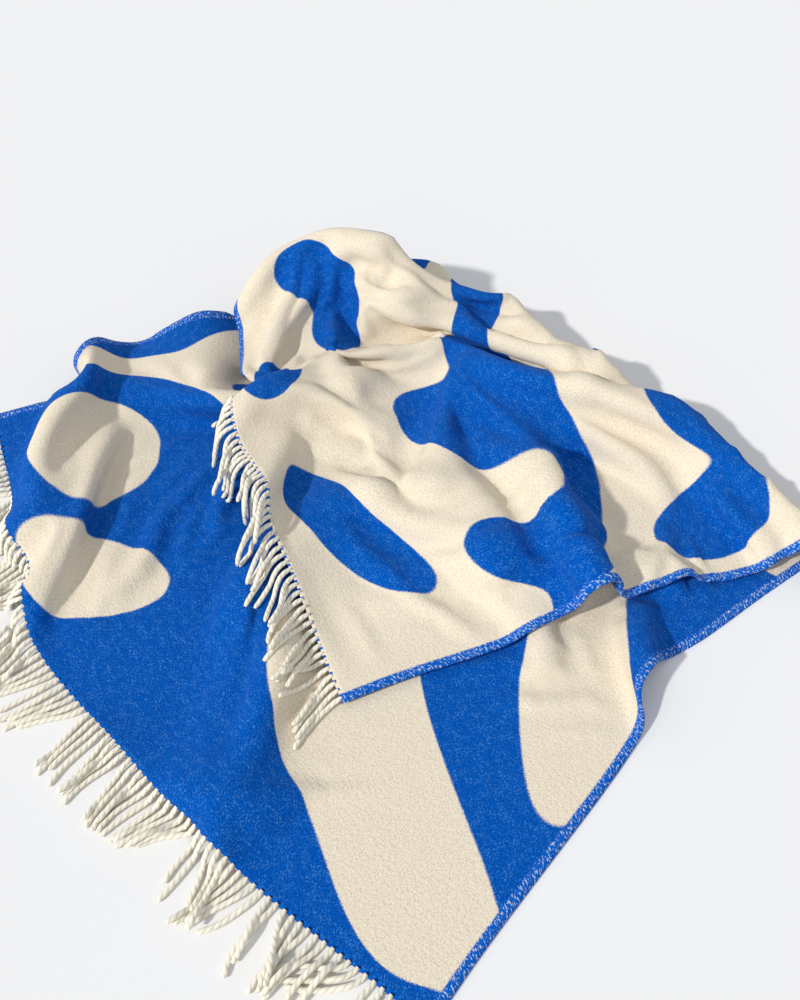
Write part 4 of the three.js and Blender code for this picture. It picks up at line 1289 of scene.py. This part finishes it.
@dataclass
class Fringe:
    """One row of twisted yarn strands along a short end of the cloth, lying in small bunches."""

    name: str
    column: int
    first: float
    last: float
    seed: int
    length: float = 102.0
    pitch: float = 12.6
    thickness: float = 7.6
    slump: tuple[float, float] = (0.0, 0.0)
    sections: int = 22
    sides: int = 8
    droop: float = 0.11
    shortest: float = 0.86
    longest: float = 1.06
    curl: float = 0.07
    scatter: float = 0.025
    crossing: float = 0.22
    bunch_sizes: tuple[int, int] = (2, 6)
    bunch_spacing: float = 1.05
    most_turn: float = 1.3
    steepest: float = -0.95

    def roots(self, throw: Throw) -> list[tuple[np.ndarray, np.ndarray]]:
        """Where the strands leave the cloth, and in which direction.

        Args:
            throw: The draped cloth.

        Returns:
            A point and a direction for each strand, in metres.
        """
        points = throw.points
        rows = points.shape[0]
        step = throw.size.width / (rows - 1)
        cells_back, sunk = 3, 0.002
        inner = self.column + (1 if self.column == 0 else -1) * cells_back
        found = []
        for spot in np.arange(self.first, self.last, self.pitch) / step:
            row = min(int(spot), rows - 2)
            share = spot - row
            edge = points[row, self.column] * (1 - share) + points[row + 1, self.column] * share
            behind = points[row, inner] * (1 - share) + points[row + 1, inner] * share
            way = (edge - behind) / np.linalg.norm(edge - behind)
            found.append((edge - way * sunk, way))
        return found

    def headings(
        self, roots: list[tuple[np.ndarray, np.ndarray]], rng: np.random.Generator
    ) -> list[float]:
        """Where each strand heads: neighbours lie in bunches, and a few cross over the next one.

        Args:
            roots: The strands' roots and directions.
            rng: Source of the bunches.

        Returns:
            The angle seen from above at which each strand runs to its tip.
        """
        angles: list[float] = []
        reach = self.length * MM
        while len(angles) < len(roots):
            start = len(angles)
            bunch = roots[start:start + int(rng.integers(*self.bunch_sizes))]
            centre = np.mean([root + way * reach for root, way in bunch], axis=0)
            centre = centre[:2] + np.array(self.slump) * MM + rng.normal(0, self.scatter, 2)
            along = (bunch[-1][0] - bunch[0][0])[:2]
            along = along / (np.linalg.norm(along) + 1e-9)
            order = np.arange(len(bunch)) - (len(bunch) - 1) / 2
            if rng.random() < self.crossing:
                order = order[::-1]
            for (root, _), place in zip(bunch, order):
                tip = centre + along * place * self.thickness * MM * self.bunch_spacing
                angles.append(math.atan2(tip[1] - root[1], tip[0] - root[0]))
        return angles

    def build(self, throw: Throw, yarn: bpy.types.Material) -> bpy.types.Object:
        """Lays every strand and makes one mesh of them all.

        Args:
            throw: The draped cloth.
            yarn: The yarn's finish.

        Returns:
            The row of strands.
        """
        rng = np.random.default_rng(self.seed)
        bm = bmesh.new()
        bm.loops.layers.uv.new("yarn")
        ground = Ground(throw)
        roots = self.roots(throw)
        for (root, way), angle in zip(roots, self.headings(roots, rng)):
            self.spin_strand(bm, self.lay(root, way, angle, ground, rng))
        return add_object(self.name, bm, [yarn])

    def lay(
        self, root: np.ndarray, way: np.ndarray, angle: float, ground: "Ground",
        rng: np.random.Generator,
    ) -> np.ndarray:
        """Lets one strand fall.

        Args:
            root: Where it leaves the cloth.
            way: The direction in which it leaves.
            angle: The direction in which it then runs, seen from above.
            ground: What it falls on.
            rng: Source of its own curl.

        Returns:
            Points along the strand.
        """
        step = self.length * MM * rng.uniform(self.shortest, self.longest) / self.sections
        curl = rng.normal(0, self.curl)
        heading = math.atan2(way[1], way[0])
        missing = (angle - heading + math.pi) % math.tau - math.pi
        missing = min(max(missing, -self.most_turn), self.most_turn)
        turning_part, swift, slow, curl_from = 0.36, 0.13, 0.01, 0.4
        rise = min(max(way[2], -0.9), 0.5)
        path = np.tile(root, (self.sections + 1, 1))
        for k in range(1, self.sections + 1):
            share = k / self.sections
            pace = swift if share < turning_part else slow
            heading += missing * pace + curl * (share - curl_from)
            rise = max(rise - self.droop, self.steepest)
            level = math.sqrt(1 - rise * rise)
            move = np.array([math.cos(heading) * level, math.sin(heading) * level, rise])
            path[k] = path[k - 1] + move * step
            floor = ground.height(path[k]) + self.thickness * MM / 2
            if k > 2 and path[k, 2] < floor:
                path[k, 2] = min(floor, path[k - 1, 2] + step)
                rise = min(max((path[k, 2] - path[k - 1, 2]) / step, -0.9), 0.4)
        for _ in range(2):
            path[2:-1] = 0.25 * path[1:-2] + 0.5 * path[2:-1] + 0.25 * path[3:]
        path[:, 2] = np.maximum(path[:, 2], self.thickness * MM / 2)
        ground.raise_by(path, self.thickness * MM)
        return path

    def spin_strand(self, bm: bmesh.types.BMesh, path: np.ndarray) -> None:
        """Pulls a ring of yarn along a path.

        Args:
            bm: The mesh to add to.
            path: Points along the strand.
        """
        uv = bm.loops.layers.uv["yarn"]
        radius = self.thickness * MM / 2
        ring = bmesh.ops.create_circle(bm, segments=self.sides, radius=radius)["verts"]
        edges = list(dict.fromkeys(edge for vert in ring for edge in vert.link_edges))
        direction = Vector(path[1] - path[0]).normalized()
        turn = Vector((0, 0, 1)).rotation_difference(direction)
        spots = [turn @ vert.co / radius for vert in ring]
        where: dict[bmesh.types.BMVert, tuple[float, float]] = {}
        for number, vert in enumerate(ring):
            vert.co = Vector(path[0]) + spots[number] * radius * 0.75
            where[vert] = (number / self.sides, 0.0)
        last = len(path) - 1
        widths = {1: 0.9, last - 1: 0.93, last: 0.6}
        run = 0.0
        for k in range(1, last + 1):
            made = bmesh.ops.extrude_edge_only(bm, edges=edges)["geom"]
            edges = [part for part in made if isinstance(part, bmesh.types.BMEdge)]
            fresh = {part for part in made if isinstance(part, bmesh.types.BMVert)}
            beside = [[edge.other_vert(v) for edge in v.link_edges] for v in ring]
            ring = [next(vert for vert in verts if vert in fresh) for verts in beside]
            edges = [edge for edge in edges if all(v in fresh for v in edge.verts)]
            ahead = Vector(path[min(k + 1, last)] - path[k - 1]).normalized()
            bend = direction.rotation_difference(ahead)
            spots = [bend @ spot for spot in spots]
            direction = ahead
            run += float(np.linalg.norm(path[k] - path[k - 1]))
            for number, vert in enumerate(ring):
                vert.co = Vector(path[k]) + spots[number] * radius * widths.get(k, 1.0)
                where[vert] = (number / self.sides, run)
        bmesh.ops.contextual_create(bm, geom=edges)
        for face in {face for vert in where for face in vert.link_faces}:
            turns = [where[vert][0] for vert in face.verts]
            wraps = max(turns) - min(turns) > 0.5
            for loop in face.loops:
                around, along = where[loop.vert]
                loop[uv].uv = (around + (1 if wraps and around < 0.5 else 0), along)


class Ground:
    """What the strands fall on: the floor, the lower layer of the cloth, and earlier strands."""

    def __init__(self, throw: Throw, cell: float = 0.003) -> None:
        """Makes the tree of the lower layer.

        Args:
            throw: The draped cloth.
            cell: Size of the cells in which strands are remembered.
        """
        self.cell = cell
        self.tops: dict[tuple[int, int], float] = {}
        self.half = throw.size.thickness * MM / 2
        points = throw.points
        rows, columns = points.shape[:2]
        clear_of_turn = 150
        under = throw.drape.past_turn < -clear_of_turn
        corners = points.reshape(-1, 3).tolist()
        faces = [
            (r * columns + c, (r + 1) * columns + c, (r + 1) * columns + c + 1, r * columns + c + 1)
            for r in range(rows - 1) for c in range(columns - 1) if under[r, c]
        ]
        self.tree = BVHTree.FromPolygons(corners, faces)

    def height(self, point: np.ndarray) -> float:
        """Finds what lies below a point.

        Args:
            point: The point, in metres.

        Returns:
            The height there.
        """
        hit = self.tree.ray_cast(Vector((point[0], point[1], 1.0)), Vector((0, 0, -1)))[0]
        under = hit.z + self.half if hit else 0.0
        key = (round(point[0] / self.cell), round(point[1] / self.cell))
        return max(under, self.tops.get(key, 0.0))

    def raise_by(self, path: np.ndarray, thickness: float) -> None:
        """Remembers a strand that has been laid.

        Args:
            path: Points along the strand.
            thickness: The yarn's thickness.
        """
        clear_of_root, heaped = 4, 0.35
        for point in path[clear_of_root:]:
            x, y = round(point[0] / self.cell), round(point[1] / self.cell)
            for a in (-1, 0, 1):
                for b in (-1, 0, 1):
                    key = (x + a, y + b)
                    self.tops[key] = max(self.tops.get(key, 0.0), point[2] + thickness * heaped)


@dataclass
class Studio:
    """The pale floor, the lights and the camera."""

    floor_size: float = 12.0
    floor_drop: float = 0.0004
    camera_height: float = 1.25
    camera_tilt: float = math.radians(38)
    lens: float = 42.75
    sunlight: tuple[float, float, float] = (2.1, 1.4, -2.0)
    sun_colour: tuple[float, float, float] = (1.0, 0.985, 0.96)
    sun_strength: float = 2.5
    sun_spread: float = math.radians(3.0)
    sky: Paint = (0.92, 0.95, 1.0, 1.0)
    sky_strength: float = 0.58

    def build(self, shift: Vector) -> None:
        """Sets everything around the throw.

        Args:
            shift: The move from the camera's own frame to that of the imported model.
        """
        bm = bmesh.new()
        bmesh.ops.create_grid(bm, x_segments=1, y_segments=1, size=self.floor_size / 2)
        bmesh.ops.translate(bm, verts=bm.verts, vec=(0, 0, -self.floor_drop))
        add_object("floor", bm, [FloorPaint().material()])
        self.add_camera(shift)
        self.add_sun()
        world = bpy.data.worlds.new("pale_room")
        bpy.context.scene.world = world
        world.use_nodes = True
        background = world.node_tree.nodes["Background"]
        background.inputs[0].default_value = self.sky
        background.inputs[1].default_value = self.sky_strength
        bpy.context.scene.view_settings.view_transform = "Standard"

    def add_camera(self, shift: Vector) -> None:
        """Adds the camera at the photograph's viewing angle.

        Args:
            shift: The move from the camera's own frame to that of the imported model.
        """
        lens = bpy.data.cameras.new("camera")
        lens.sensor_width = 36.0
        lens.sensor_fit = "HORIZONTAL"
        lens.lens = self.lens
        camera = bpy.data.objects.new("camera", lens)
        camera.location = shift + Vector((0, 0, self.camera_height))
        camera.rotation_euler = (self.camera_tilt, 0, 0)
        bpy.context.scene.collection.objects.link(camera)
        bpy.context.scene.camera = camera

    def add_sun(self) -> None:
        """Adds the key light, which comes from the left at a low angle."""
        lamp = bpy.data.lights.new("key", "SUN")
        lamp.energy = self.sun_strength
        lamp.angle = self.sun_spread
        lamp.color = self.sun_colour
        made = bpy.data.objects.new("key", lamp)
        made.rotation_euler = Vector(self.sunlight).to_track_quat("-Z", "Y").to_euler()
        bpy.context.scene.collection.objects.link(made)


def main() -> None:
    """Builds the throw and its surroundings, hides the imported parts that they replace, and attaches
    each piece to the root body.
    """
    logging.basicConfig(level=logging.INFO, format="%(name)s: %(message)s")
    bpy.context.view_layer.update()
    throw = Throw()
    cloth = throw.build()
    LOG.info("cloth: %d faces", len(cloth.data.polygons))
    yarn = TwistedYarn().material()
    last = throw.points.shape[1] - 1
    end_a = Fringe("fringe_end_a", column=0, first=8.0, last=1297.0, seed=3).build(throw, yarn)
    LOG.info("fringe_end_a: %d faces", len(end_a.data.polygons))
    end_b = Fringe(
        "fringe_end_b", column=last, first=8.0, last=585.0, seed=8, slump=(30.0, -85.0)
    ).build(throw, yarn)
    LOG.info("fringe_end_b: %d faces", len(end_b.data.polygons))
    for piece, node, slot in (
        (cloth, "blanket", "cloth"), (end_a, "fringe_near", "yarn"), (end_b, "fringe_far", "yarn"),
    ):
        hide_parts(node)
        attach(piece, "root")
    Studio().build(throw.shift)


if __name__ == "__main__":
    main()
